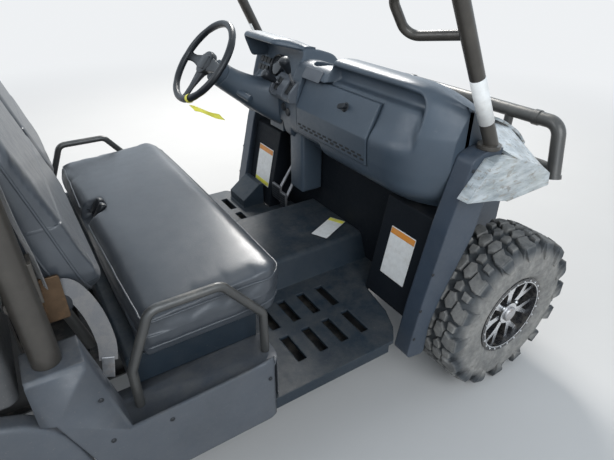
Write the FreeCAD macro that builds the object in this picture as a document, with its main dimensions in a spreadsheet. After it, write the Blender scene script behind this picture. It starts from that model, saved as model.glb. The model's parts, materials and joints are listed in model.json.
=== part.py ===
import FreeCAD, Part
import math
import os
import re
import Sketcher
from FreeCAD import Placement, Rotation, Vector

# A side by side utility vehicle: X runs forward, Y to the driver's side, Z up from the ground.
# Cab and chassis sub-parts are drawn from a datum half way between the axles, wheels from their own centres,
# and each sub-part's Placement puts it in the vehicle. Lengths are in millimetres.

SIZES = {
    "overall": [
        ("front_overhang", 500, "front axle to the guard's front"),
        ("wheelbase", 2010, "axle to axle"),
        ("rear_overhang", 620, "rear axle to the tailgate's back"),
        ("overall_height", 1905, "ground to the top of the roll cage"),
        ("overall_width", 1565, "over the tyres"),
    ],
    "wheels": [
        ("tyre_radius", 330, "tyre outer radius at the lugs"),
        ("front_tyre_width", 230, "front tyre section"),
        ("rear_tyre_width", 280, "rear tyre section"),
        ("bead_radius", 152, "tyre bead seat"),
        ("lug_count", 16, "lugs in each of the two rows round a tyre"),
        ("lug_height", 20, "tread lug height"),
        ("rim_wall", 5, "rim barrel thickness"),
        ("rim_lip", 14, "rim flange height above the bead seat"),
        ("hub_radius", 46, "wheel centre cap"),
        ("spoke_count", 7, "forked spokes per wheel"),
        ("spoke_depth", 24, "spoke thickness along the axle"),
        ("dish", 26, "spoke face behind the rim's outer edge"),
        ("axle_radius", 18, "stub axle"),
        ("disc_radius", 105, "brake disc"),
        ("kingpin_out", 583, "steering axis from the centre plane"),
    ],
    "frame": [
        ("rail_out", 225, "outer face of a frame rail"),
        ("rail_width", 50, "frame rail width"),
        ("rail_height", 80, "frame rail height"),
        ("rail_front", 1335, "front end of the rails"),
        ("rail_rear", 1470, "rear end of the rails behind the datum"),
        ("skid_thickness", 5, "underbody plate"),
        ("rocker_tube", 19, "tube radius under the floor's edge"),
        ("rocker_out", 640, "rocker tube from the centre plane"),
    ],
    "suspension": [
        ("arm_foot", 248, "lower arm pivots from the centre plane"),
        ("low_foot_z", 348, "lower arm pivots above the ground"),
        ("low_spread", 110, "lower arm pivots from the axle, each way"),
        ("high_foot", 285, "upper arm pivots from the centre plane"),
        ("high_foot_z", 493, "upper arm pivots above the ground"),
        ("high_spread", 80, "upper arm pivots from the axle, each way"),
        ("shock_head", 300, "shock absorber head from the centre plane"),
        ("shock_foot", 470, "shock absorber foot from the centre plane"),
        ("ball_drop", 95, "lower ball joint below the axle"),
        ("ball_rise", 78, "upper ball joint above the axle"),
        ("steer_arm", 90, "steering arm length"),
        ("rack_radius", 7, "steering rack bar"),
        ("rack_drop", 38, "rack bar below the axle"),
    ],
    "floor": [
        ("floor_top", 410, "floor surface above the ground"),
        ("floor_thickness", 12, "floor moulding"),
        ("floor_half", 690, "half width over the sills"),
        ("floor_rear", -330, "rear edge of the floor"),
        ("floor_front_out", 505, "front edge of the floor beside the wheel arch"),
        ("sill_drop", 42, "sill flange depth"),
        ("tunnel_half", 235, "half width of the centre tunnel's foot"),
        ("tunnel_taper", 45, "how far the tunnel's side leans in"),
        ("tunnel_rise", 105, "tunnel height above the floor"),
        ("slot_pitch", 85, "drain slot spacing along the floor"),
        ("slot_first", 136, "rear edge of the first slot"),
        ("slot_width", 32, "drain slot width"),
        ("slot_length", 125, "drain slot length across the floor"),
        ("slot_gap", 48, "between the two rows of slots"),
        ("slot_inner", 300, "inner end of the inner row"),
    ],
    "front": [
        ("firewall_x", 700, "cab face of the firewall"),
        ("wall_thickness", 10, "firewall sheet"),
        ("well_inner", 395, "inner edge of the wheel well"),
        ("arch_radius", 380, "wheel opening about the axle"),
        ("arch_out", 700, "outer face of the arch panel"),
        ("arch_foot_z", 285, "lower end of the arch panel"),
        ("post_foot_z", 1040, "top of the arch panel under the front post"),
        ("dash_half", 633, "half width of the dashboard"),
        ("dash_top", 1212, "dashboard rim above the ground"),
        ("dash_front", 830, "front face of the dashboard"),
        ("firewall_top", 899.7, "top edge of the firewall sheet"),
        ("dash_low", 812, "lower edge of the dashboard's cheeks"),
        ("dash_face", 560, "cab face of the dashboard at the glovebox"),
        ("crease_z", 1008, "crease below the glovebox door's slope"),
        ("console_out", 268, "driver's edge of the centre console"),
        ("recess_reach", 545, "passenger's end of the recess under the visor"),
        ("bin_back", 690, "back of the glovebox"),
        ("bin_frame", 24, "frame round the glovebox"),
        ("stack_foot_z", 600, "foot of the centre stack"),
        ("door_in", -365, "glovebox door edge towards the passenger's side"),
        ("door_out", 92, "glovebox door edge towards the console"),
        ("door_thickness", 12, "glovebox door"),
        ("door_gap", 6, "clearance round the glovebox door"),
        ("nose_under", 430, "lower edge of the nose"),
        ("nose_top", 868, "top of the nose under the hood"),
        ("lamp_in", 350, "headlight's inner side"),
        ("lamp_out", 470, "headlight's outer side"),
        ("lamp_drop", 22, "headlight below the top of the nose"),
        ("cowl_x", 850, "rear edge of the hood"),
        ("cowl_z", 1092, "hood above the ground at its rear edge"),
        ("nose_low_half", 385, "half width of the nose between the turned front wheels"),
        ("hinge_x", 560, "glovebox hinge axis, forward of the datum"),
        ("hinge_z", 916, "glovebox hinge axis above the ground"),
        ("hinge_radius", 5, "glovebox hinge knuckle"),
    ],
    "seats": [
        ("seat_base_top", 655, "top of the seat box"),
        ("seat_base_half", 560, "half width of the seat box"),
        ("seat_half", 600, "half width of the bench cushion"),
        ("cushion_rear", -330, "rear edge of the bench cushion"),
        ("cushion_front", 122, "front edge of the bench cushion"),
        ("cushion_thickness", 165, "bench cushion"),
        ("back_foot_z", 872, "lower edge of the backrests"),
        ("back_height", 480, "one backrest"),
        ("back_thickness", 110, "one backrest"),
        ("back_lean", 15, "backrest lean in degrees"),
        ("soft_gap", 0.4, "clearance of a soft piece"),
    ],
    "sides": [
        ("side_out", 690, "outer face of the side moulding"),
        ("side_wall", 10, "side moulding wall"),
        ("tray_z", 562, "tray floor beside the seat"),
        ("lip_z", 585, "lip round the tray"),
        ("block_z", 815, "top of the block under the rear post"),
    ],
    "cage": [
        ("front_tube", 22, "front cage tube radius"),
        ("rear_tube", 30, "rear cage tube radius"),
        ("rail_tube", 12.5, "seat side rail tube radius"),
        ("guard_leg_tube", 29, "front guard leg tube radius"),
        ("guard_top_tube", 25, "front guard cross tube radius"),
        ("guard_half", 575, "half width over the guard's feet"),
        ("guard_foot_z", 725, "capped foot of the guard's hoop"),
        ("guard_top_z", 938, "axis of the guard's top tube"),
        ("cage_half", 668, "cage post from the centre plane at its foot"),
        ("cage_top_half", 610, "rear cage corner from the centre plane"),
    ],
    "bed": [
        ("bed_front", -580, "front face of the cargo box"),
        ("bed_half", 690, "half width over the cargo box"),
        ("bed_wall", 28, "cargo box wall"),
        ("bed_floor_z", 800, "cargo box floor surface"),
        ("bed_floor_thickness", 30, "cargo box floor"),
        ("bed_depth", 305, "cargo box depth"),
        ("groove_count", 8, "grooves across the cargo box floor"),
        ("groove_width", 44, "groove in the cargo box floor"),
        ("groove_depth", 7, "groove and side panel depth"),
        ("gate_thickness", 32, "tailgate with its gap"),
        ("gate_panel", 20, "tailgate panel"),
        ("gate_pin_x", 7, "tailgate hinge axis from its outer face"),
        ("gate_pin_z", 797, "tailgate hinge axis above the ground"),
        ("gate_pin_radius", 4, "tailgate hinge pin"),
        ("bed_hinge_x", -1420, "cargo box hinge axis"),
        ("bed_hinge_z", 742, "cargo box hinge axis above the ground"),
        ("bed_pin_radius", 10, "cargo box hinge pin"),
        ("move_gap", 6, "clearance between moving pieces"),
    ],
    "hitch": [
        ("hitch_bore_half", 25.6, "half the receiver's square opening"),
        ("hitch_wall", 6.4, "receiver wall"),
        ("hitch_pin_radius", 8, "receiver pin hole radius"),
        ("hitch_length", 140, "receiver length"),
    ],
}

doc = FreeCAD.newDocument("side_by_side")
sheet = doc.addObject("Spreadsheet::Sheet", "dims")
aliases = set()
row = 1
for group, entries in SIZES.items():
    sheet.set(f"A{row}", group)
    row += 1
    for alias, value, note in entries:
        sheet.set(f"A{row}", note)
        sheet.set(f"B{row}", str(value))
        sheet.setAlias(f"B{row}", alias)
        aliases.add(alias)
        row += 1
doc.recompute()
sub_parts = {}


# Expressions and placing

def full(text):
    """The expression with each alias written as the sheet's cell."""
    return re.sub(r"[a-z_]\w*", lambda m: "dims." + m.group(0) if m.group(0) in aliases else m.group(0), str(text))


def val(text):
    return float(sheet.evalExpression(full(text)))


def bind(thing, prop, text):
    thing.setExpression(prop, full(text))


def derived(alias, text, note):
    """A size worked out from others, kept in the sheet as a formula."""
    global row
    sheet.set(f"A{row}", note)
    sheet.set(f"B{row}", "=" + str(text))
    sheet.setAlias(f"B{row}", alias)
    aliases.add(alias)
    row += 1
    doc.recompute()


def keep(thing, label, x="datum_x", y="0", z="0"):
    """Names a finished sub-part and puts it in the vehicle."""
    thing.Label = label
    bind(thing, "Placement.Base.x", x)
    bind(thing, "Placement.Base.y", y)
    bind(thing, "Placement.Base.z", z)
    sub_parts[label] = thing
    return thing


# Sketches and PartDesign features

def plane_of(body, role):
    return [f for f in body.Origin.OriginFeatures if f.Role == role][0]


def new_body(name):
    body = doc.addObject("PartDesign::Body", name)
    body.AllowCompound = True
    return body


def corner_points(points):
    """Numbers for each corner: the corner, its radius, and where its arc starts and ends."""
    found = []
    numbers = [Vector(val(p[0]), val(p[1]), 0) for p in points]
    for i, here in enumerate(numbers):
        radius = val(points[i][2]) if len(points[i]) > 2 else 0
        before = (numbers[i - 1] - here).normalize()
        after = (numbers[(i + 1) % len(numbers)] - here).normalize()
        if not radius:
            found.append((here, 0, here, here, None, 1))
            continue
        half = before.getAngle(after) / 2
        reach = radius / math.tan(half)
        middle = here + (before + after).normalize() * (radius / math.sin(half))
        turn = (here - numbers[i - 1]).cross(numbers[(i + 1) % len(numbers)] - here).z
        found.append((here, radius, here + before * reach, here + after * reach, middle, 1 if turn > 0 else -1))
    return found


def arc_between(middle, radius, start, end, turn):
    first, last = (start, end) if turn > 0 else (end, start)
    angles = [math.atan2(p.y - middle.y, p.x - middle.x) for p in (first, last)]
    if angles[1] < angles[0]:
        angles[1] += 2 * math.pi
    return Part.ArcOfCircle(Part.Circle(middle, Vector(0, 0, 1), radius), *angles)


def draw_loop(sketch, points):
    """A closed outline. Each corner's place, and its radius if it has one, is bound to the sheet."""
    corners = corner_points(points)
    count = len(points)
    first_line = sketch.GeometryCount
    edges = [Part.LineSegment(corners[i][3], corners[(i + 1) % count][2]) for i in range(count)]
    extra, rules, bound = [], [], []
    at = first_line + count
    for i, (here, radius, start, end, middle, turn) in enumerate(corners):
        before, after = first_line + (i - 1) % count, first_line + i
        if not radius:
            rules.append(Sketcher.Constraint("Coincident", before, 2, after, 1))
            spot = after
        else:
            arc, spot = at, at + 1
            at += 2
            extra += [(arc_between(middle, radius, start, end, turn), False), (Part.Point(here), True)]
            first, last = (1, 2) if turn > 0 else (2, 1)
            rules += [Sketcher.Constraint("Tangent", before, 2, arc, first),
                      Sketcher.Constraint("Tangent", after, 1, arc, last),
                      Sketcher.Constraint("PointOnObject", spot, 1, before),
                      Sketcher.Constraint("PointOnObject", spot, 1, after)]
            bound.append((len(rules), points[i][2]))
            rules.append(Sketcher.Constraint("Radius", arc, radius))
        for kind, text, number in (("DistanceX", points[i][0], here.x), ("DistanceY", points[i][1], here.y)):
            bound.append((len(rules), text))
            rules.append(Sketcher.Constraint(kind, -1, 1, spot, 1, number))
    sketch.addGeometry(edges, False)
    for shape, helper in extra:
        sketch.addGeometry(shape, helper)
    offset = sketch.ConstraintCount
    sketch.addConstraint(rules)
    for index, text in bound:
        bind(sketch, f"Constraints[{offset + index}]", text)


def draw_circle(sketch, x, y, radius):
    at = sketch.addGeometry(Part.Circle(Vector(val(x), val(y), 0), Vector(0, 0, 1), val(radius)), False)
    for kind, text in (("DistanceX", x), ("DistanceY", y)):
        c = sketch.addConstraint(Sketcher.Constraint(kind, -1, 1, at, 3, val(text)))
        bind(sketch, f"Constraints[{c}]", text)
    c = sketch.addConstraint(Sketcher.Constraint("Radius", at, val(radius)))
    bind(sketch, f"Constraints[{c}]", radius)


def new_sketch(body, role, offset="0", loops=(), circles=()):
    """A sketch on one of the body's own planes. XZ looks along +Y, so its offset runs towards -Y."""
    sketch = body.newObject("Sketcher::SketchObject", body.Name + "_sketch")
    sketch.AttachmentSupport = [(plane_of(body, role), "")]
    sketch.MapMode = "FlatFace"
    bind(sketch, "AttachmentOffset.Base.z", offset)
    for points in loops:
        draw_loop(sketch, points)
    for x, y, radius in circles:
        draw_circle(sketch, x, y, radius)
    return sketch


def pad(body, sketch, length, both=False, back=False):
    feature = body.newObject("PartDesign::Pad", body.Name + "_pad")
    feature.Profile = sketch
    feature.Midplane = both
    feature.Reversed = back
    bind(feature, "Length", length)
    doc.recompute()
    return feature


def pocket(body, sketch, length, both=False, back=False):
    """Cuts away in the direction that a pad would grow, and checks that something was cut."""
    before = body.Shape.Volume
    feature = body.newObject("PartDesign::Pocket", body.Name + "_pocket")
    feature.Profile = sketch
    feature.Midplane = both
    feature.Reversed = not back
    bind(feature, "Length", length)
    doc.recompute()
    if body.Shape.Volume >= before:
        raise ValueError(f"{feature.Name} cuts nothing")
    return feature


def revolve(body, sketch, axis="H_Axis"):
    feature = body.newObject("PartDesign::Revolution", body.Name + "_turned")
    feature.Profile = sketch
    feature.ReferenceAxis = (sketch, [axis])
    feature.Angle = 360
    doc.recompute()
    return feature


def round_edges(body, radius, pick):
    """Fillets the edges that pick chooses by place."""
    base = body.Tip
    names = [f"Edge{i + 1}" for i, e in enumerate(base.Shape.Edges) if pick(e)]
    if not names:
        raise ValueError(f"{body.Name} has no edge to round")
    feature = body.newObject("PartDesign::Fillet", body.Name + "_round")
    feature.Base = (base, names)
    bind(feature, "Radius", radius)
    doc.recompute()
    return feature


def along(edge, axis):
    """True for a straight edge that runs along the axis."""
    if edge.Curve.TypeId != "Part::GeomLine":
        return False
    return abs(abs(edge.Curve.Direction.dot(axis)) - 1) < 1e-6


def mirrored_pair(name, source):
    """The source and its mirror image across the centre plane, as one object."""
    mirror = doc.addObject("Part::Mirroring", name + "_mirror")
    mirror.Source = source
    mirror.Normal = Vector(0, 1, 0)
    both = doc.addObject("Part::Compound", name + "_pair")
    both.Links = [source, mirror]
    return both


# Part primitives and shapes

def block(name, low, high):
    """A box between two corners, each a triple of expressions."""
    box = doc.addObject("Part::Box", name)
    for prop, a, b in zip(("Length", "Width", "Height"), low, high):
        bind(box, prop, f"({b}) - ({a})")
    for axis, a in zip("xyz", low):
        bind(box, f"Placement.Base.{axis}", a)
    return box


def rod(name, start, end, radius):
    """A round bar between two points, each a triple of expressions."""
    a, b = (Vector(*(val(t) for t in p)) for p in (start, end))
    bar = doc.addObject("Part::Cylinder", name)
    gaps = [f"(({q}) - ({p}))" for p, q in zip(start, end)]
    bind(bar, "Height", "sqrt(" + " + ".join(f"{g}^2" for g in gaps) + ")")
    bind(bar, "Radius", radius)
    bar.Placement = Placement(a, Rotation(Vector(0, 0, 1), b - a))
    for axis, text in zip("xyz", start):
        bind(bar, f"Placement.Base.{axis}", text)
    return bar


def fused(name, things):
    fuse = doc.addObject("Part::MultiFuse", name)
    fuse.Shapes = things
    fuse.Refine = True
    return fuse


def grouped(name, things):
    both = doc.addObject("Part::Compound", name)
    both.Links = things
    return both


def cut(name, base, tool):
    made = doc.addObject("Part::Cut", name)
    made.Base = base
    made.Tool = tool
    return made


def shaped(name, shape):
    thing = doc.addObject("Part::Feature", name)
    thing.Shape = shape
    return thing


def point(*texts):
    return Vector(*(val(t) for t in texts))


def path_of(points, bend):
    """Straight runs joined by tangent arcs of one radius."""
    edges = []
    start = points[0]
    for before, here, after in zip(points, points[1:], points[2:]):
        a, b = (before - here).normalize(), (after - here).normalize()
        half = a.getAngle(b) / 2
        reach = bend / math.tan(half)
        first, last = here + a * reach, here + b * reach
        middle = here + (a + b).normalize() * (bend / math.sin(half))
        crown = middle + (here - middle).normalize() * bend
        edges.append(Part.LineSegment(start, first).toShape())
        edges.append(Part.Arc(first, crown, last).toShape())
        start = last
    edges.append(Part.LineSegment(start, points[-1]).toShape())
    return Part.Wire(edges)


def bent_tube(points, radius, bend):
    """A round tube swept along straight runs and bends."""
    path = path_of(points, bend)
    ring = Part.Wire([Part.Circle(points[0], points[1] - points[0], radius).toShape()])
    return path.makePipeShell([ring], True, False)


def mirrored(shape):
    return shape.mirror(Vector(0, 0, 0), Vector(0, 1, 0))


def lofted(sections, ruled=True):
    return Part.makeLoft([Part.makePolygon(s + s[:1]) for s in sections], True, ruled)


derived("overall_length", "front_overhang + wheelbase + rear_overhang", "guard to tailgate")
derived("front_x", "overall_length / 2 - front_overhang", "front axle from the origin")
derived("rear_x", "front_x - wheelbase", "rear axle from the origin")
derived("datum_x", "(front_x + rear_x) / 2", "cab datum from the origin")
derived("axle_x", "wheelbase / 2", "front axle from the datum")
derived("front_track", "overall_width / 2 - front_tyre_width / 2", "front tyre's centre plane")
derived("rear_track", "overall_width / 2 - rear_tyre_width / 2", "rear tyre's centre plane")
derived("floor_under", "floor_top - floor_thickness", "underside of the floor and top of the rails")
derived("rail_under", "floor_under - rail_height", "underside of the rails")
derived("bed_under", "bed_floor_z - bed_floor_thickness", "underside of the cargo box floor")
derived("bed_back", "-(axle_x + rear_overhang)", "back of the tailgate from the datum")
derived("guard_front", "axle_x + front_overhang", "front of the guard from the datum")


# Wheels

def make_tyre(label, width, x, track):
    """One carcass with two staggered rows of lugs, used on both sides of the axle."""
    half = f"{width} / 2"
    body = new_body(label + "_body")
    ring = [(f"-{half} + 18", "bead_radius + 0.3"), (f"{half} - 18", "bead_radius + 0.3")]
    flank = [("18", "bead_radius + rim_lip + 4"), ("0", "bead_radius + 62"), ("3", "tyre_radius - 46"), ("22", "tyre_radius - lug_height")]
    ring += [(f"{half} - {inset}", reach) for inset, reach in flank]
    ring += [(f"-{half} + {inset}", reach) for inset, reach in reversed(flank)]
    revolve(body, new_sketch(body, "YZ_Plane", loops=[ring]))
    carcass = body.Shape.copy()
    count, root = int(val("lug_count")), val("tyre_radius - 46")
    tip = val("tyre_radius") / math.cos(0.44 * math.pi / count)
    core = Part.makeCylinder(root - 14, 2 * val(half), Vector(0, -val(half), 0), Vector(0, 1, 0))
    rows = []
    for side in (1, -1):
        outline = []
        for k in range(count):
            middle = (k + 0.25 * (1 + side)) * 2 * math.pi / count
            for share, reach in ((-0.30, root), (-0.22, tip), (0.22, tip), (0.30, root)):  # share of the pitch
                turn = middle + share * 2 * math.pi / count
                outline.append(Vector(reach * math.sin(turn), 0, reach * math.cos(turn)))
        low, high = sorted((side * 5, side * (val(half) - 4)))
        row = Part.Face(Part.makePolygon(outline + outline[:1])).extrude(Vector(0, high - low, 0))
        row.translate(Vector(0, low, 0))
        rows.append(row.cut(core))
    master = carcass.multiFuse(rows)
    for hand, side in (("left", 1), ("right", -1)):
        keep(shaped(f"{label}_{hand}_shape", master.copy()), f"{label}_{hand}", x, f"{side} * {track}", "tyre_radius")


def make_rim(label, width, side, x, y):
    """Rim barrel, flanges, forked spokes and centre cap. side is 1 where the outer face looks to +Y."""
    body = new_body(label + "_body")
    half = f"({width} / 2 - 18)"
    lip = "bead_radius + rim_lip"
    barrel = new_sketch(body, "YZ_Plane", loops=[[
        (f"-{half} - 6", lip),
        (f"-{half} - 0.4", lip),
        (f"-{half} - 0.4", "bead_radius"),
        (f"{half} + 0.4", "bead_radius"),
        (f"{half} + 0.4", lip),
        (f"{half} + 6", lip),
        (f"{half} + 6", "bead_radius - rim_wall"),
        (f"-{half} - 6", "bead_radius - rim_wall"),
    ]])
    revolve(body, barrel)
    face = f"{side} * ({half} + 6 - dish - spoke_depth)"
    spoke = new_sketch(body, "XZ_Plane", offset=f"-({face})", loops=[[
        ("-11", "hub_radius - 8"),
        ("11", "hub_radius - 8"),
        ("13", "hub_radius + 34"),
        ("36", "bead_radius - rim_wall - 2"),
        ("21", "bead_radius - rim_wall + 1"),
        ("0", "hub_radius + 58"),
        ("-21", "bead_radius - rim_wall + 1"),
        ("-36", "bead_radius - rim_wall - 2"),
        ("-13", "hub_radius + 34"),
    ]])
    first = pad(body, spoke, "spoke_depth", back=side > 0)
    ring = body.newObject("PartDesign::PolarPattern", label + "_spokes")
    ring.Originals = [first]
    ring.Axis = (spoke, ["N_Axis"])
    ring.Angle = 360
    bind(ring, "Occurrences", "spoke_count")
    body.Tip = ring
    doc.recompute()
    hub = new_sketch(body, "XZ_Plane", offset=f"-({face})", circles=[("0", "0", "hub_radius")])
    pad(body, hub, "spoke_depth + 10", back=side > 0)
    bore = new_sketch(body, "XZ_Plane", offset=f"-({face})", circles=[("0", "0", "axle_radius + 0.3")])
    pocket(body, bore, "spoke_depth - 4", back=side > 0)
    return keep(body, label, x, y, "tyre_radius")


def make_wheels():
    for end, width, x, track in (("front", "front_tyre_width", "front_x", "front_track"),
                                 ("rear", "rear_tyre_width", "rear_x", "rear_track")):
        make_tyre(f"{end}_tyre", width, x, track)
        for hand, side in (("left", 1), ("right", -1)):
            make_rim(f"{end}_rim_{hand}", width, side, x, f"{side} * {track}")


# Knuckles, arms, shocks and shafts

def make_knuckle(label, side, track, width, steered):
    """Upright on the kingpin with its stub axle, brake disc and, in front, a steering arm."""
    reach = f"{side} * ({track} + {width} / 2 - 18 + 6 - dish - spoke_depth + spoke_depth - 6)"
    pin = f"{side} * kingpin_out"
    def box(name, y_in, y_out, x_low, x_high, z_low, z_high):
        ys = (y_in, y_out) if side > 0 else (y_out, y_in)
        return block(label + name, (x_low, f"{side} * ({ys[0]})", z_low), (x_high, f"{side} * ({ys[1]})", z_high))
    pieces = [
        box("_upright", "kingpin_out - 22", "kingpin_out + 16", "-30", "30", "tyre_radius - 62", "tyre_radius + 50"),
        rod(label + "_kingpin", ("0", pin, "tyre_radius - ball_drop + 21.3"),
            ("0", pin, "tyre_radius + ball_rise - 12.3"), "12"),
        rod(label + "_axle", ("0", pin, "tyre_radius"), ("0", reach, "tyre_radius"), "axle_radius"),
        rod(label + "_disc", ("0", f"{side} * (kingpin_out + 24)", "tyre_radius"),
            ("0", f"{side} * (kingpin_out + 31)", "tyre_radius"), "disc_radius"),
        rod(label + "_carrier", ("0", f"{side} * (kingpin_out + 10)", "tyre_radius"),
            ("0", f"{side} * (kingpin_out + 26)", "tyre_radius"), "42"),
    ]
    if steered:
        pieces.append(box("_steering_arm", "kingpin_out - 28", "kingpin_out - 4", "-(steer_arm + 26)", "0",
                          "tyre_radius - 62", "tyre_radius - 46"))
    return fused(label + "_fused", pieces)


def arm_shape(x, inner_y, inner_z, outer_y, outer_z, spread, radius):
    """An A-arm: two tubes that meet at the ball joint, with a cross tube."""
    tip = Vector(x, outer_y, outer_z)
    feet = [Vector(x + s * spread, inner_y, inner_z) for s in (1, -1)]
    legs = [Part.makeCylinder(radius, (tip - f).Length, f, tip - f) for f in feet]
    mids = [f + (tip - f) * 0.6 for f in feet]
    cross = Part.makeCylinder(radius * 0.8, (mids[1] - mids[0]).Length, mids[0], mids[1] - mids[0])
    boss = Part.makeCylinder(radius * 1.5, 33, tip - Vector(0, 0, 12), Vector(0, 0, 1))
    eyes = [Part.makeCylinder(radius * 1.3, 44, f - Vector(22, 0, 0), Vector(1, 0, 0)) for f in feet]
    return legs[0].multiFuse([legs[1], cross, boss] + eyes).removeSplitter()


def make_suspension():
    radius = 14
    solids = []
    for x in (val("axle_x"), -val("axle_x")):
        outer = val("kingpin_out")
        low_z, high_z = val("tyre_radius - ball_drop"), val("tyre_radius + ball_rise")
        low = arm_shape(x, val("arm_foot"), val("low_foot_z"), outer, low_z, val("low_spread"), radius)
        high = arm_shape(x, val("high_foot"), val("high_foot_z"), outer, high_z, val("high_spread"), radius * 0.85)
        solids += [low, high, mirrored(low), mirrored(high)]
    keep(shaped("arms", Part.makeCompound(solids)), "suspension_arms")


def spring_outline(start, end, crests, outer, inner):
    """Half section of a coil spring about its axis: a crest for each turn."""
    step = (end - start) / crests
    line = [(0, start)]
    for k in range(crests):
        line += [(inner, start + k * step), (outer, start + (k + 0.5) * step)]
    return line + [(inner, end), (0, end)]


def make_shocks():
    """Coil-over shock absorbers: damper, eyes and a spring whose turns show as crests."""
    solids = []
    for x in (val("axle_x"), -val("axle_x")):
        foot = Vector(x, val("shock_foot"), val("high_foot_z") - 25)
        head = Vector(x, val("shock_head"), val("floor_under") + 330)
        length = (head - foot).Length
        outline = [Vector(r, 0, h) for r, h in spring_outline(length * 0.17, length * 0.83, 8, 42, 31)]
        spring = Part.Face(Part.makePolygon(outline + outline[:1])).revolve(Vector(0, 0, 0), Vector(0, 0, 1), 360)
        spring.Placement = Placement(foot, Rotation(Vector(0, 0, 1), head - foot))
        axis = (head - foot).normalize()
        parts = [spring, Part.makeCylinder(22, length * 0.14, foot + axis * length * 0.06, axis)]
        for spot, reach, wide in ((foot, 13, 36), (head, 14, 24)):
            parts.append(Part.makeCylinder(reach, wide, spot - Vector(wide / 2, 0, 0), Vector(1, 0, 0)))
        shock = Part.makeCylinder(11, length, foot, axis).multiFuse(parts)
        solids += [shock, mirrored(shock)]
    keep(shaped("shocks", Part.makeCompound(solids)), "shock_absorbers")


make_wheels()
for hand, side in (("left", 1), ("right", -1)):
    label = f"front_knuckle_{hand}"
    keep(make_knuckle(label, side, "front_track", "front_tyre_width", True), label, "front_x")
keep(grouped("rear_knuckle_pair", [make_knuckle(f"rear_knuckle_{s}", s, "rear_track", "rear_tyre_width", False)
                                   for s in (1, -1)]), "rear_knuckles", "rear_x")
make_suspension()
make_shocks()


# Chassis

def box_pair(name, low, high):
    """A box on the left side and its mirror image; the corners are given for the left side."""
    left = block(name + "_left", low, high)
    right = block(name + "_right", (low[0], f"-({high[1]})", low[2]), (high[0], f"-({low[1]})", high[2]))
    return [left, right]


def make_hitch():
    outer = "(hitch_bore_half + hitch_wall)"
    tube = block("hitch_outer", ("-(rail_rear + hitch_length)", f"-{outer}", f"rail_under + 40 - {outer}"),
                 ("-rail_rear + 20", outer, f"rail_under + 40 + {outer}"))
    bore = block("hitch_bore", ("-(rail_rear + hitch_length) - 5", "-hitch_bore_half", "rail_under + 40 - hitch_bore_half"),
                 ("-rail_rear - 12", "hitch_bore_half", "rail_under + 40 + hitch_bore_half"))
    pin = rod("hitch_pin_hole", (f"-(rail_rear + hitch_length - 45)", f"-{outer} - 5", "rail_under + 40"),
              (f"-(rail_rear + hitch_length - 45)", f"{outer} + 5", "rail_under + 40"), "hitch_pin_radius")
    return tube, [bore, pin]


def make_rockers():
    """Tubes under the floor's edges, the outriggers that hold them, and the plate below."""
    z = "floor_under - rocker_tube - 0.3"
    pieces = []
    for s in (1, -1):
        pieces.append(rod(f"rocker_{s}", ("floor_rear", f"{s} * rocker_out", z),
                          ("floor_front_out - 15", f"{s} * rocker_out", z), "rocker_tube"))
    for i, x in enumerate(("floor_rear + 30", "floor_rear + 390", "floor_front_out - 75")):
        pieces += box_pair(f"outrigger_{i}", (x, "rail_out - 10", "floor_under - 2 * rocker_tube"),
                           (f"{x} + 34", "rocker_out", "floor_under - 8"))
    pieces += box_pair("side_skid", ("floor_rear + 10", "rail_out - 10", "floor_under - 2 * rocker_tube - 4"),
                       ("floor_front_out - 25", "rocker_out", "floor_under - 2 * rocker_tube"))
    return pieces


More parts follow.
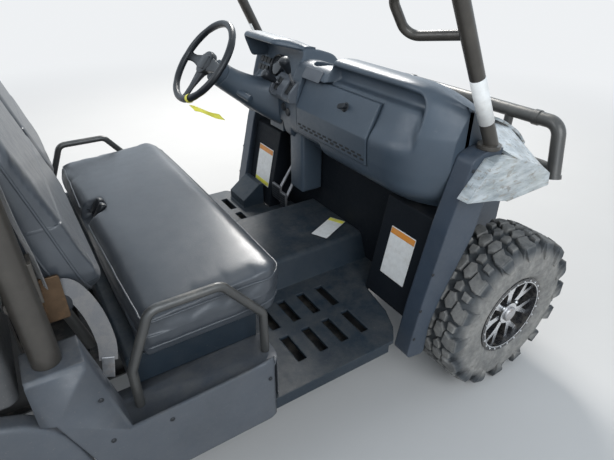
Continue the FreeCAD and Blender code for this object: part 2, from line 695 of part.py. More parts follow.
def make_frame():
    inner = "rail_out - rail_width"
    pieces = box_pair("rail", ("-rail_rear", inner, "rail_under"), ("rail_front", "rail_out", "floor_under"))
    for i, x in enumerate(("rail_front - 40", "640", "60", "-420", "-700", "-rail_rear")):
        pieces.append(block(f"cross_{i}", (x, f"-({inner}) - 10", "rail_under + 15"),
                            (f"{x} + 40", f"{inner} + 10", "floor_under - 15")))
    for end, axle in (("front", "axle_x"), ("rear", "-axle_x")):
        for s in (1, -1):
            foot = f"{axle} + {s} * low_spread"
            for t in (1, -1):
                low = f"{foot} + {t} * 25.3 - 3"
                pieces += box_pair(f"{end}_ear_{s}_{t}", (low, "rail_out - 5", "low_foot_z - 22"),
                                   (f"{low} + 6", "arm_foot + 20", "low_foot_z + 22"))
                high = f"{axle} + {s} * high_spread + {t} * 25.3 - 3"
                pieces += box_pair(f"{end}_high_ear_{s}_{t}", (high, "rail_out - 30", "high_foot_z - 22"),
                                   (f"{high} + 6", "high_foot + 18", "high_foot_z + 20"))
            tower = f"{axle} + {s} * high_spread - 28"
            pieces += box_pair(f"{end}_tower_{s}", (tower, "rail_out - 45", "floor_under - 5"),
                               (f"{tower} + 56", "rail_out - 5", "high_foot_z + 20"))
        pieces += box_pair(f"{end}_shock_post", (f"{axle} - 20", "rail_out - 45", "floor_under - 5"),
                           (f"{axle} + 20", "rail_out - 5", "floor_under + 350"))
        pieces += box_pair(f"{end}_shock_arm", (f"{axle} - 10", "rail_out - 10", "floor_under + 315"),
                           (f"{axle} + 10", "shock_head - 14.3", "floor_under + 345"))
    pieces += box_pair("fender_post", ("-axle_x + 80", "rail_out - 45", "floor_under - 5"),
                       ("-axle_x + 110", "rail_out - 5", "724"))
    pieces.append(block("nose_bar", ("rail_front - 85", "-(nose_low_half - 10)", "floor_under - 1"),
                        ("rail_front - 55", "nose_low_half - 10", "nose_under - 0.3")))
    pieces += make_rockers()
    for x in ("bed_front - 60", "axle_x - 240"):
        name = "bed_rest" if x.startswith("bed") else "cowl_post"
        top = "bed_under - 0.3" if x.startswith("bed") else "bed_under"
        pieces += box_pair(name, (x, inner, "floor_under - 5"), (f"{x} + 40", "rail_out", top))
    pieces += box_pair("hinge_post", ("bed_hinge_x - 16", inner, "floor_under - 5"),
                       ("bed_hinge_x + 16", "rail_out", "bed_hinge_z + 10"))
    pieces.append(rod("hinge_bar", ("bed_hinge_x", "-(rail_out + 32)", "bed_hinge_z"),
                      ("bed_hinge_x", "rail_out + 32", "bed_hinge_z"), "bed_pin_radius"))
    pieces.append(block("skid", ("-820", "-250", "rail_under - skid_thickness"), ("830", "250", "rail_under + 1")))
    x, z = "axle_x - steer_arm", "tyre_radius - rack_drop"
    pieces.append(block("guide_block", (f"{x} - 30", "-210", f"{z} - 16"), (f"{x} + 26", "210", "rail_under + 1")))
    slot = block("guide_slot", (f"{x} - 40", "-215", f"{z} - 13"), (f"{x} + 13", "215", f"{z} + 13"))
    tube, openings = make_hitch()
    tools = grouped("frame_tools", [slot] + openings)
    keep(cut("frame_cut", fused("frame_fused", pieces + [tube]), tools), "frame_rails")


def make_floor():
    body = new_body("floor_body")
    half = [("floor_rear", "floor_half", "20"), ("floor_front_out - 45", "floor_half", "20"),
            ("floor_front_out", "floor_half - 55"), ("540", "well_inner + 160"), ("570", "well_inner"),
            ("firewall_x - 0.5", "well_inner")]
    outline = half + [(p[0], f"-({p[1]})") + p[2:] for p in reversed(half)]
    sketch = new_sketch(body, "XY_Plane", offset="floor_under", loops=[outline[::-1]])
    pad(body, sketch, "floor_thickness")
    for s in (1, -1):
        ys = (f"{s} * (floor_half - 14)", f"{s} * floor_half")
        lip = [("floor_rear + 20", ys[0]), ("floor_front_out - 65", ys[0]),
               ("floor_front_out - 65", ys[1]), ("floor_rear + 20", ys[1])]
        sketch = new_sketch(body, "XY_Plane", offset="floor_top - sill_drop", loops=[lip[::s]])
        pad(body, sketch, "sill_drop")
    tunnel = [("-tunnel_half", "floor_top - 1"), ("tunnel_half", "floor_top - 1"),
              ("tunnel_half - tunnel_taper", "floor_top + tunnel_rise", "25"),
              ("-(tunnel_half - tunnel_taper)", "floor_top + tunnel_rise", "25")]
    sketch = new_sketch(body, "YZ_Plane", offset="12", loops=[tunnel])
    pad(body, sketch, "firewall_x - 12.5")
    hollow = [("-tunnel_half + 14", "floor_under - 1"), ("tunnel_half - 14", "floor_under - 1"),
              ("tunnel_half - tunnel_taper - 10", "floor_top + tunnel_rise - 10"),
              ("-(tunnel_half - tunnel_taper - 10)", "floor_top + tunnel_rise - 10")]
    sketch = new_sketch(body, "YZ_Plane", offset="24", loops=[hollow])
    pocket(body, sketch, "firewall_x")
    slots = []
    for s in (1, -1):
        for k in range(4):
            x = f"slot_first + {k} * slot_pitch"
            for y in ("slot_inner", "slot_inner + slot_length + slot_gap"):
                low, high = (y, f"{y} + slot_length") if s > 0 else (f"-({y} + slot_length)", f"-({y})")
                slots.append([(x, low), (f"{x} + slot_width", low), (f"{x} + slot_width", high), (x, high)])
    for four in range(0, len(slots), 4):
        sketch = new_sketch(body, "XY_Plane", offset="floor_under - 1", loops=slots[four:four + 4])
        pocket(body, sketch, "floor_thickness + 2")
    rest = [("455", "floor_top - 1"), ("568", "floor_top - 1"), ("568", "520"), ("545", "520"), ("455", "450")]
    sketch = new_sketch(body, "XZ_Plane", offset="-610", loops=[rest])
    pad(body, sketch, "160")
    keep(body, "floor_pan")


def make_firewall():
    """Firewall sheet with a wheel well on each side: rear wall, inner wall and deck."""
    body = new_body("firewall_body")
    sketch = new_sketch(body, "YZ_Plane", offset="firewall_x", loops=[[
        ("-(well_inner + 1)", "floor_under + 0.2"), ("well_inner + 1", "floor_under + 0.2"),
        ("well_inner + 1", "700"), ("dash_half - 10", "780"), ("dash_half - 10", "firewall_top"),
        ("-(dash_half - 10)", "firewall_top"), ("-(dash_half - 10)", "780"), ("-(well_inner + 1)", "700")]])
    pad(body, sketch, "wall_thickness")
    for s in (1, -1):
        wall = [("571", "floor_under + 0.2"), ("firewall_x + 1", "floor_under + 0.2"),
                ("firewall_x + 1", "800"), ("650", "790")]
        sketch = new_sketch(body, "XZ_Plane", offset=f"-{s} * (well_inner + 1) - {1 if s > 0 else 0} * 0",
                            loops=[wall])
        pad(body, sketch, "wall_thickness", back=s > 0)
        bend = [("571", "floor_top + 0.2"), ("581", "floor_top + 0.2"), ("658", "782"),
                ("firewall_x + 1", "790"), ("firewall_x + 1", "800"), ("650", "790")]
        sketch = new_sketch(body, "XZ_Plane", offset=f"-{s} * (well_inner + 1)", loops=[bend])
        pad(body, sketch, "235", back=s > 0)
    keep(body, "firewall")


def make_arch_panels():
    """Side panels between the door opening and the front wheel, open towards the wheel."""
    body = new_body("arch_body")
    outline = [("firewall_x - 180", "arch_foot_z + 15", "25"), ("firewall_x - 94", "arch_foot_z", "15"),
               ("firewall_x - 86", "floor_top + 10", "200"), ("firewall_x - 50", "floor_top + 110", "350"),
               ("firewall_x + 58", "post_foot_z - 296", "260"), ("firewall_x + 118", "post_foot_z - 5"),
               ("firewall_x + 35", "post_foot_z - 5", "14"), ("firewall_x - 10", "post_foot_z - 22", "30"),
               ("firewall_x - 74", "post_foot_z - 239", "400"), ("firewall_x - 144", "floor_top + 90", "400")]
    sketch = new_sketch(body, "XZ_Plane", offset="-arch_out", loops=[outline])
    pad(body, sketch, "66")
    inside = [("firewall_x - 168", "arch_foot_z - 5"), ("firewall_x - 60", "arch_foot_z - 5"),
              ("firewall_x - 60", "floor_top - 10"), ("firewall_x + 90", "post_foot_z - 310"),
              ("firewall_x + 130", "post_foot_z - 16"), ("firewall_x + 40", "post_foot_z - 16"),
              ("firewall_x + 2", "post_foot_z - 32", "25"), ("firewall_x - 62", "post_foot_z - 242", "390"),
              ("firewall_x - 132", "floor_top + 88", "390")]
    sketch = new_sketch(body, "XZ_Plane", offset="-(arch_out - 10)", loops=[inside])
    pocket(body, sketch, "60")
    keep(mirrored_pair("arch", body), "front_arch_panels")


# Dashboard and controls

def make_dash():
    """Moulded dashboard: a rolled cowl and cheeks, a visor over the recessed glovebox, the centre stack."""
    body = new_body("dash_body")
    profile = [("firewall_x - 10", "dash_low"), ("firewall_x - 118", "dash_low", "50"), ("dash_face", "hinge_z - 6", "90"),
               ("dash_face - 4", "crease_z + 50", "90"), ("dash_face + 26", "dash_top - 45", "30"),
               ("dash_face + 66", "dash_top", "22"), ("firewall_x + 10", "dash_top - 2", "60"),
               ("dash_front", "dash_top - 92", "20"), ("dash_front", "dash_top - 152"),
               ("firewall_x + 40", "firewall_top + 12"), ("firewall_x - 10", "firewall_top + 12")]
    sketch = new_sketch(body, "XZ_Plane", offset="-dash_half", loops=[profile])
    pad(body, sketch, "2 * dash_half")
    corners = []
    for s in (1, -1):
        tip = [("dash_face - 60", f"{s} * 440"), ("dash_face + 4", f"{s} * 455", "150"),
               ("dash_face + 44", f"{s} * 610", "62"), ("firewall_x + 60", f"{s} * (dash_half + 6)"),
               ("dash_face - 60", f"{s} * (dash_half + 6)")]
        corners.append(tip[::s])
    sketch = new_sketch(body, "XY_Plane", offset="dash_low - 10", loops=corners)
    pocket(body, sketch, "500")
    recess = [("dash_face - 60", "crease_z"), ("dash_face - 4", "crease_z"), ("dash_face + 52", "crease_z + 114", "8"),
              ("dash_face + 26", "crease_z + 126"), ("dash_face + 18", "crease_z + 148", "6"),
              ("dash_face - 60", "crease_z + 148")]
    sketch = new_sketch(body, "XZ_Plane", offset="-console_out", loops=[recess])
    pocket(body, sketch, "console_out + recess_reach")
    seat = [("dash_face - 60", "hinge_z - 40"), ("hinge_x + 5.3", "hinge_z - 40"), ("hinge_x + 5.3", "hinge_z + 6"),
            ("dash_face + 7", "crease_z + 1"), ("dash_face + 64", "crease_z + 120"), ("dash_face - 60", "crease_z + 120")]
    sketch = new_sketch(body, "XZ_Plane", offset="-door_out", loops=[seat])
    pocket(body, sketch, "door_out - door_in")
    bin_sides = [("dash_face - 40", "hinge_z + 18"), ("bin_back", "hinge_z + 18", "20"), ("bin_back", "crease_z + 92", "20"),
                 ("dash_face - 40", "crease_z + 92")]
    sketch = new_sketch(body, "XZ_Plane", offset="-(door_out - bin_frame)", loops=[bin_sides])
    pocket(body, sketch, "door_out - door_in - 2 * bin_frame")
    knees = [("dash_face - 60", "dash_low - 10"), ("firewall_x + 60", "dash_low - 10"), ("firewall_x + 60", "hinge_z + 19"),
             ("dash_face - 60", "hinge_z - 6")]
    sketch = new_sketch(body, "XZ_Plane", offset="-(dash_half - 60)", loops=[knees])
    pocket(body, sketch, "dash_half - 60 - door_out - 123")
    column = [("dash_face - 60", "dash_low"), ("firewall_x + 5", "dash_low"), ("firewall_x + 5", "hinge_z + 19"),
              ("dash_face - 60", "crease_z + 100")]
    sketch = new_sketch(body, "XZ_Plane", offset="-410", loops=[column])
    pocket(body, sketch, "136")
    stack = [("dash_face + 30", "stack_foot_z"), ("firewall_x - 0.5", "stack_foot_z"), ("firewall_x - 0.5", "firewall_top + 14"),
             ("dash_face + 15", "firewall_top + 14"), ("dash_face + 5", "hinge_z - 30", "30")]
    sketch = new_sketch(body, "XZ_Plane", offset="-215", loops=[stack])
    pad(body, sketch, "110")
    keep(body, "dashboard")


def make_door():
    body = new_body("door_body")
    face = [("hinge_x - 5", "hinge_z"), ("hinge_x + 5", "hinge_z"), ("564", "1008"), ("616", "1120"),
            ("602", "1120"), ("549", "1008")]
    sketch = new_sketch(body, "XZ_Plane", offset="-(door_out - door_gap)", loops=[face])
    pad(body, sketch, "door_out - door_in - 2 * door_gap")
    ring = new_sketch(body, "XZ_Plane", offset="-(door_out - door_gap)",
                      circles=[("hinge_x", "hinge_z", "hinge_radius")])
    pad(body, ring, "door_out - door_in - 2 * door_gap")
    keep(body, "glovebox_door")


def make_pod():
    """Hooded instrument pod in front of the driver."""
    body = new_body("pod_body")
    side = [("dash_face - 8", "dash_top - 72", "6"), ("dash_face - 32", "dash_top + 28", "12"),
            ("dash_face", "dash_top + 36", "12"), ("firewall_x", "dash_top + 10"), ("firewall_x", "dash_top + 0.3"),
            ("dash_face + 66", "dash_top + 0.3"), ("dash_face + 25.6", "dash_top - 44.8"),
            ("dash_face + 18", "dash_top - 72")]
    sketch = new_sketch(body, "XZ_Plane", offset="-505", loops=[side])
    pad(body, sketch, "330")
    face = [("dash_face - 60", "dash_top - 60"), ("dash_face + 8", "dash_top - 54"), ("dash_face + 30", "dash_top + 16"),
            ("dash_face - 60", "dash_top + 16")]
    sketch = new_sketch(body, "XZ_Plane", offset="-490", loops=[face])
    pocket(body, sketch, "300")
    keep(body, "instrument_pod")


def make_console():
    """Centre stack below the dashboard with the gear and lock levers."""
    pieces = []
    for name, foot, knob in (("gear", ("575", "225", "1060"), ("500", "238", "1113")),
                             ("lock", ("580", "130", "1070"), ("520", "116", "1180"))):
        pieces.append(rod(name + "_lever", foot, knob, "7"))
        ball = doc.addObject("Part::Sphere", name + "_knob")
        bind(ball, "Radius", "20")
        for axis, text in zip("xyz", knob):
            bind(ball, f"Placement.Base.{axis}", text)
        pieces.append(ball)
    face = [(560.2, 1017.2), (600.5, 1099.3), (591.6, 1103.6), (551.3, 1021.5)]
    gate = lofted([[Vector(x, y, z) for x, z in face] for y in (98, 262)])
    pieces.append(shaped("lever_gate", gate))
    keep(fused("levers_fused", pieces), "gear_levers")


WHEEL_SPOT = ("274", "342", "1171")
COLUMN_TILT = 49.6


def column_point(distance):
    """A point on the steering column, this far down from the wheel's centre."""
    x, y, z = WHEEL_SPOT
    down = f"{distance} * cos({COLUMN_TILT} deg)"
    return (f"{x} + {distance} * sin({COLUMN_TILT} deg)", y, f"{z} - {down}")


def make_column():
    shroud = rod("column_shroud", column_point("58"), column_point("300"), "46")
    tube = rod("column_tube", column_point("299"), column_point("532"), "19")
    bracket = block("column_bracket", ("600", "282", "840"), ("firewall_x - 0.3", "402", "895"))
    key = rod("key_barrel", ("396", "305", "1044"), ("419", "232", "1024"), "14")
    keep(fused("column_fused", [shroud, tube, bracket, key]), "steering_column")


def make_steering_wheel():
    """Rim, three spokes and boss, drawn flat about the wheel's axis and then tilted."""
    section = [(170 + 15 * math.cos(a), 15 * math.sin(a)) for a in (k * math.pi / 4 for k in range(8))]
    outline = [Vector(r, 0, h) for r, h in section]
    ring = Part.Face(Part.makePolygon(outline + outline[:1])).revolve(Vector(0, 0, 0), Vector(0, 0, 1), 360)
    boss = Part.makeCylinder(52, 34, Vector(0, 0, -34), Vector(0, 0, 1))
    shaft = Part.makeCylinder(12, 28, Vector(0, 0, -57.7), Vector(0, 0, 1))
    spokes = []
    for angle in (90, 180, 270):
        bar = Part.makeBox(136, 34, 12, Vector(36, -17, -18))
        bar.rotate(Vector(0, 0, 0), Vector(0, 0, 1), angle)
        spokes.append(bar)
    wheel = shaped("wheel_shape", ring.multiFuse([boss, shaft] + spokes))
    wheel.Placement = Placement(Vector(0, 0, 0), Rotation(Vector(0, 1, 0), -COLUMN_TILT))
    keep(wheel, "steering_wheel", f"datum_x + {WHEEL_SPOT[0]}", WHEEL_SPOT[1], WHEEL_SPOT[2])


def make_pedals():
    pieces = []
    for name, y, wide, z in (("brake", "330", "75", "520"), ("throttle", "265", "45", "500")):
        pieces.append(rod(name + "_arm", ("firewall_x - 12", y, "660"), ("590", y, z), "8"))
        pieces.append(block(name + "_pivot", ("firewall_x - 20", f"{y} - 12", "648"),
                            ("firewall_x - 0.3", f"{y} + 12", "676")))
        pieces.append(block(name + "_pad", ("578", f"{y} - {wide} / 2", f"{z} - 38"),
                            ("590", f"{y} + {wide} / 2", f"{z} + 38")))
    keep(fused("pedals_fused", pieces), "pedals")


# Seats and side mouldings

def make_seat_base():
    body = new_body("seat_base_body")
    shape = [("floor_rear", "floor_top + 0.3"), ("4", "floor_top + 0.3"), ("14", "seat_base_top", "20"),
             ("floor_rear - 30", "seat_base_top", "12"), ("floor_rear - 30", "560")]
    sketch = new_sketch(body, "XZ_Plane", offset="-seat_base_half", loops=[shape])
    pad(body, sketch, "2 * seat_base_half")
    hollow = [("floor_rear + 10", "floor_top"), ("-8", "floor_top"), ("2", "seat_base_top - 12"),
              ("floor_rear - 18", "seat_base_top - 12"), ("floor_rear - 18", "575")]
    sketch = new_sketch(body, "XZ_Plane", offset="-(seat_base_half - 10)", loops=[hollow])
    pocket(body, sketch, "2 * (seat_base_half - 10)")
    keep(body, "seat_base")


def make_cushion():
    body = new_body("cushion_body")
    under = "seat_base_top + soft_gap"
    top = f"{under} + cushion_thickness"
    side = [("cushion_rear", under, "25"), ("cushion_front - 34", under, "40"), ("cushion_front", f"{top} - 95", "60"),
            ("cushion_front - 4", f"{top} + 2", "52"), ("cushion_rear + 90", f"{top} - 22", "300"),
            ("cushion_rear", f"{top} - 34", "40")]
    sketch = new_sketch(body, "XZ_Plane", offset="-seat_half", loops=[side])
    pad(body, sketch, "2 * seat_half")
    notch = [("cushion_rear - 10", "25"), ("cushion_rear + 78", "35", "26"), ("cushion_rear + 78", "135", "26"),
             ("cushion_rear - 10", "145")]
    sketch = new_sketch(body, "XY_Plane", offset=f"{top} - 80", loops=[notch])
    pocket(body, sketch, "200")
    corners = []
    for s in (1, -1):
        tip = [("cushion_front - 80", f"{s} * (seat_half + 5)"), ("cushion_front - 60", f"{s} * (seat_half + 1)", "60"),
               ("cushion_front + 1", f"{s} * (seat_half - 50)", "60"), ("cushion_front + 5", f"{s} * (seat_half - 80)"),
               ("cushion_front + 30", f"{s} * (seat_half + 5)")]
        corners.append(tip[::-s])
    sketch = new_sketch(body, "XY_Plane", offset="seat_base_top - 20", loops=corners)
    pocket(body, sketch, "300")
    keep(body, "seat_cushion")


BACK_FOOT = ("cushion_rear - 20", "back_foot_z")


def back_point(along, out):
    """A point on a backrest's side view: along its height, and out from its front face."""
    x, z = BACK_FOOT
    s, c = "sin(back_lean * 1 deg)", "cos(back_lean * 1 deg)"
    return (f"{x} - ({along}) * {s} - ({out}) * {c}", f"{z} + ({along}) * {c} - ({out}) * {s}")


def make_backrest(label, low, high):
    body = new_body(label + "_body")
    side = [back_point("0", "0") + ("42",), back_point("back_height", "20") + ("48",),
            back_point("back_height - 10", "back_thickness") + ("30",), back_point("0", "back_thickness") + ("20",)]
    sketch = new_sketch(body, "XZ_Plane", offset=f"-({high})", loops=[side])
    pad(body, sketch, f"{high} - ({low})")
    top = "back_foot_z + back_height"
    corners = []
    for y, s in ((high, 1), (low, -1)):
        for z, r, t in (("back_foot_z - 40", "back_foot_z", 1), (f"{top}", f"{top} - 25", -1)):
            tip = [(f"{y} + {s} * 4", z), (f"{y} - {s} * 70", z), (f"{y} - {s} * 62", f"{r}"),
                   (f"{y} + {s} * 1", f"{r} + {t} * 62"), (f"{y} + {s} * 4", f"{r} + {t} * 70")]
            corners.append(tip[::-s * t])
    sketch = new_sketch(body, "YZ_Plane", offset="cushion_rear - 320", loops=corners)
    pocket(body, sketch, "400")
    keep(body, label)


def back_spot(out, z):
    """Where a line behind the backrest, this far out from its front face, is at height z."""
    x, foot = (val(t) for t in BACK_FOOT)
    lean = math.radians(val("back_lean"))
    along = (z - foot + out * math.sin(lean)) / math.cos(lean)
    return Vector(x - along * math.sin(lean) - out * math.cos(lean), 0, z)


def make_seat_frame():
    """Upright posts and cross tubes that carry the backrests."""
    pieces = []
    lean = math.radians(val("back_lean"))
    def at(along, out, y):
        x, z = (val(t) for t in BACK_FOOT)
        return Vector(x - along * math.sin(lean) - out * math.cos(lean), y,
                      z + along * math.cos(lean) - out * math.sin(lean))
    out = val("back_thickness") + 14.5
    for y in (-450, -150, 200, 480):
        low, high = at(-195, out, y), at(380, out, y)
        pieces.append(Part.makeCylinder(14, (high - low).Length, low, high - low))
    for along_back in (60, 340):
        pieces.append(Part.makeCylinder(14, 1130, at(along_back, out, -565), Vector(0, 1, 0)))
    keep(shaped("seat_frame_shape", pieces[0].multiFuse(pieces[1:])), "seat_frame")


def make_side_rails():
    y = val("seat_half") + 32
    foot = val("tray_z")
    left = bent_tube([Vector(2, y, foot + 0.3), Vector(2, y, 700), Vector(-110, y, 838), Vector(-292, y, 838),
                      Vector(-357, y, 680), Vector(-357, y, foot + 0.3)], val("rail_tube"), 34)
    keep(shaped("side_rail_shape", Part.makeCompound([left, mirrored(left)])), "seat_side_rails")


def make_side_panels():
    body = new_body("side_body")
    skirt = [("-485", "floor_under - 42"), ("26", "floor_under - 42"), ("26", "592", "12"), ("-83", "582"), ("-400", "570"),
             ("-450", "805", "10"), ("-565", "block_z", "8"), ("-565", "690"), ("-537", "676"), ("-485", "518")]
    sketch = new_sketch(body, "XZ_Plane", offset="-(side_out + 12)", loops=[skirt])
    pad(body, sketch, "side_wall")
    tray = [("-405", "tray_z - side_wall"), ("26", "tray_z - side_wall"), ("26", "tray_z"), ("-405", "tray_z")]
    sketch = new_sketch(body, "XZ_Plane", offset="-(side_out + 2.5)", loops=[tray])
    pad(body, sketch, "side_out + 2 - seat_base_half")
    top = [("-400", "tray_z - 8"), ("-388", "tray_z - 8"), ("-448", "block_z"), ("-565", "block_z"), ("-565", "690"),
           ("-553", "690"), ("-553", "block_z - 12"), ("-458", "block_z - 12")]
    sketch = new_sketch(body, "XZ_Plane", offset="-(side_out + 2.5)", loops=[top])
    pad(body, sketch, "95")
    end = [("16", "floor_top + 0.3"), ("26", "floor_top + 0.3"), ("26", "tray_z - 1"), ("16", "tray_z - 1")]
    sketch = new_sketch(body, "XZ_Plane", offset="-(side_out + 2.5)", loops=[end])
    pad(body, sketch, "side_out + 2 - seat_base_half")
    keep(mirrored_pair("side", body), "side_panels")


# Roll cage, guard and front

def make_cage():
    tube = val("front_tube")
    top = val("overall_height") - val("rear_tube")
    corner = val("cage_top_half")
    foot_z = val("post_foot_z")
    runs = []
    for s in (1, -1):
        post = bent_tube([Vector(779, s * 682, foot_z + 7.5), Vector(345, s * 655, top), Vector(-545, s * corner, top)],
                         tube, 130)
        flange = Part.makeCylinder(36, 12, Vector(778, s * 676, foot_z - 4.7), Vector(0, 0, 1))
        runs += [post, flange]
    half = val("cage_half") - 20
    block_z = val("block_z")
    rear = bent_tube([Vector(-515, half, block_z + 0.3), Vector(-515, half, block_z + 60), Vector(-545, corner, top),
                      Vector(-545, -corner, top), Vector(-515, -half, block_z + 60),
                      Vector(-515, -half, block_z + 0.3)], val("rear_tube"), 110)
    runs.append(rear)
    for x, y, z, r in ((240, 648, top, tube), (-70, 632, top, tube * 0.8)):
        runs.append(Part.makeCylinder(r, 2 * y, Vector(x, -y, z), Vector(0, 1, 0)))
    rest = back_spot(val("back_thickness") + 46.8, 960)
    runs.append(Part.makeCylinder(18, 2 * half - 20, Vector(rest.x, -half + 10, rest.z), Vector(0, 1, 0)))
    for low in (val("seat_half") + 4, -half):
        runs.append(Part.makeBox(8, half - val("seat_half") - 4, 92, Vector(-491, low, 958)))
    loop = bent_tube([Vector(545, -668, 1500), Vector(478, -500, 1470), Vector(556, -500, 1352),
                      Vector(620, -672, 1372)], 14, 45)
    runs.append(loop)
    keep(shaped("cage_shape", runs[0].multiFuse(runs[1:])), "roll_cage")


def make_guard():
    """Hoop with elbows and capped feet, two uprights from the rails' plate, and cross tubes."""
    leg = val("guard_leg_tube")
    bar = val("guard_top_tube")
    front = val("guard_front")
    half, foot = val("guard_half"), val("guard_foot_z")
    top = Vector(front - leg - 4, half - 84, val("guard_top_z"))
    low = Vector(front - leg - 36, half - leg - 4, foot)
    flip = lambda p: Vector(p.x, -p.y, p.z)
    runs = [bent_tube([low, top, flip(top), flip(low)], leg, 62)]
    for s, end in ((1, low), (-1, flip(low))):
        lean = ((top if s > 0 else flip(top)) - end).normalize()
        runs.append(Part.makeCylinder(leg + 4, 16, end - lean * 6, lean))
        runs.append(Part.makeCylinder(leg + 4, 26, Vector(top.x, s * (half - 190) - 13, top.z), Vector(0, 1, 0)))
        runs.append(bent_tube([Vector(val("rail_front") + 6, s * 215, 376), Vector(front - 72, s * 225, 384),
                               Vector(front - 52, s * 250, 560), Vector(top.x, s * 250, top.z)], bar * 0.8, 50))
    for z, reach, x in ((foot + 34, half - leg - 14, low.x + 5), (560, 251, front - 52)):
        runs.append(Part.makeCylinder(bar * 0.8, 2 * reach, Vector(x, -reach, z), Vector(0, 1, 0)))
    runs.append(Part.makeBox(12, 480, 92, Vector(val("rail_front") + 0.3, -240, 330)))
    keep(shaped("guard_shape", runs[0].multiFuse(runs[1:])), "brush_guard")


def make_nose():
    """Front fascia with its grille opening, headlight pockets and the bumper plate below it."""
    body = new_body("nose_body")
    back = "rail_front - 145"
    side = [(back, "nose_under"), ("rail_front", "nose_under", "20"), ("rail_front + 30", "nose_under + 190", "120"),
            ("rail_front - 17", "nose_top - 68", "90"), ("rail_front - 53", "nose_top", "20"), (back, "nose_top")]
    sketch = new_sketch(body, "XZ_Plane", offset="-500", loops=[side])
    pad(body, sketch, "1000")
    corners = []
    for s in (1, -1):
        tip = [("rail_front - 135", f"{s} * 520"), ("rail_front - 95", f"{s} * 490", "60"),
               ("rail_front + 65", f"{s} * 330"), ("rail_front + 65", f"{s} * 520")]
        corners.append(tip[::-s])
    sketch = new_sketch(body, "XY_Plane", offset="nose_under - 30", loops=corners)
    pocket(body, sketch, "500")
    clear = []
    for s in (1, -1):
        flank = [("rail_front - 155", f"{s} * nose_low_half"), ("rail_front + 85", f"{s} * nose_low_half"),
                 ("rail_front + 85", f"{s} * 530"), ("rail_front - 155", f"{s} * 530")]
        clear.append(flank[::s])
    sketch = new_sketch(body, "XY_Plane", offset="nose_under - 10", loops=clear)
    pocket(body, sketch, "280")
    inside = [("rail_front - 155", "nose_under - 10"), ("rail_front - 14", "nose_under - 10"),
              ("rail_front + 16", "nose_under + 188"), ("rail_front - 31", "nose_top - 76"),
              ("rail_front - 65", "nose_top - 12"), ("rail_front - 155", "nose_top - 12")]
    sketch = new_sketch(body, "XZ_Plane", offset="-320", loops=[inside])
    pocket(body, sketch, "640")
    gaps = [[(f"-{w}", f"nose_under + {z}"), (f"{w}", f"nose_under + {z}"), (f"{w} + 6", f"nose_under + {z} + 26"),
             (f"-({w} + 6)", f"nose_under + {z} + 26")] for w, z in ((225, 120), (235, 160), (245, 200), (255, 240))]
    sketch = new_sketch(body, "YZ_Plane", offset="rail_front - 45", loops=gaps)
    pocket(body, sketch, "120")
    lamps = []
    for s in (1, -1):
        a, b = ("lamp_in - 0.3", "lamp_out + 0.3") if s > 0 else ("-(lamp_out + 0.3)", "-(lamp_in - 0.3)")
        low, high = "nose_top - lamp_drop - 64.3", "nose_top - lamp_drop + 0.3"
        lamps.append([(a, low), (b, low), (b, high), (a, high)])
    sketch = new_sketch(body, "YZ_Plane", offset="rail_front - 95.3", loops=lamps)
    pocket(body, sketch, "150")
    for high in ("300", "-200"):
        cradle = [("rail_front - 80", "nose_top - 8"), ("rail_front - 41", "nose_top - 2"),
                  ("rail_front - 41", "nose_top + 10.7"), ("rail_front - 73", "nose_top + 10.7")]
        sketch = new_sketch(body, "XZ_Plane", offset=f"-({high})", loops=[cradle])
        pad(body, sketch, "100")
    keep(body, "nose")


def hood_points(lift):
    """The hood's side line from the cowl to its front hinge, with the radius of each bend."""
    line = [("cowl_x", "cowl_z"), ("cowl_x + 100", "cowl_z - 17", "400"), ("rail_front - 215", "nose_top + 142", "400"),
            ("rail_front - 100", "nose_top + 77", "250"), ("rail_front - 45", "nose_top + 22")]
    return [(p[0], f"{p[1]} - {lift}") + p[2:] for p in line]


def make_hood():
    body = new_body("hood_body")
    top = hood_points("0")
    under = [(f"{p[0]} - 3",) + p[1:] for p in hood_points("10")]
    sketch = new_sketch(body, "XZ_Plane", offset="-470", loops=[(under + top[::-1])])
    pad(body, sketch, "940")
    for high in ("298", "-202"):
        sketch = new_sketch(body, "XZ_Plane", offset=f"-({high})", circles=[("rail_front - 50", "nose_top + 17", "6")])
        pad(body, sketch, "96")
    keep(body, "hood")


def fender_main(shift, low, y_in, y_out):
    back, ridge, nose, brow = (val(t) for t in ("cowl_x - 14", "cowl_z - 30", "rail_front - 141", "nose_top + 32"))
    inner = [(back, ridge - shift), (back + 114, ridge - 12 - shift), (nose - 34 - shift, brow + 75 - shift),
             (nose - shift, brow), (nose - 14 - shift, low), (back, low)]
    outer = [(back, ridge - 52 - shift), (back + 64, ridge - 77 - shift), (back + 144, ridge - 107 - shift),
             (back + 204 - shift, ridge - 147 - shift), (back + 214 - shift, brow - 32), (back, low)]
    return lofted([[Vector(x, y, z) for x, z in points] for points, y in ((inner, y_in), (outer, y_out))])


def make_fenders():
    """Skins over the front wheels, with a tail that runs back outside the arch panel."""
    outer = val("overall_width") / 2 - 40
    skin = 10
    main = fender_main(0, 862, 476, outer).cut(fender_main(skin, 840, 470, outer - skin))
    tail = [(640, 908), (735, 1018), (790, 1018), (845, 1007), (845, 863), (760, 885)]
    inside = [(600, 850), (650, 905), (740, 1007), (790, 1007), (845, 996), (860, 850)]
    prism = lambda points, low, high: lofted([[Vector(x, y, z) for x, z in points] for y in (low, high)])
    tail = prism(tail, 700.3, outer).cut(prism(inside, 700, outer - skin))
    left = main.fuse(tail)
    keep(shaped("fender_shape", Part.makeCompound([left, mirrored(left)])), "front_fenders")


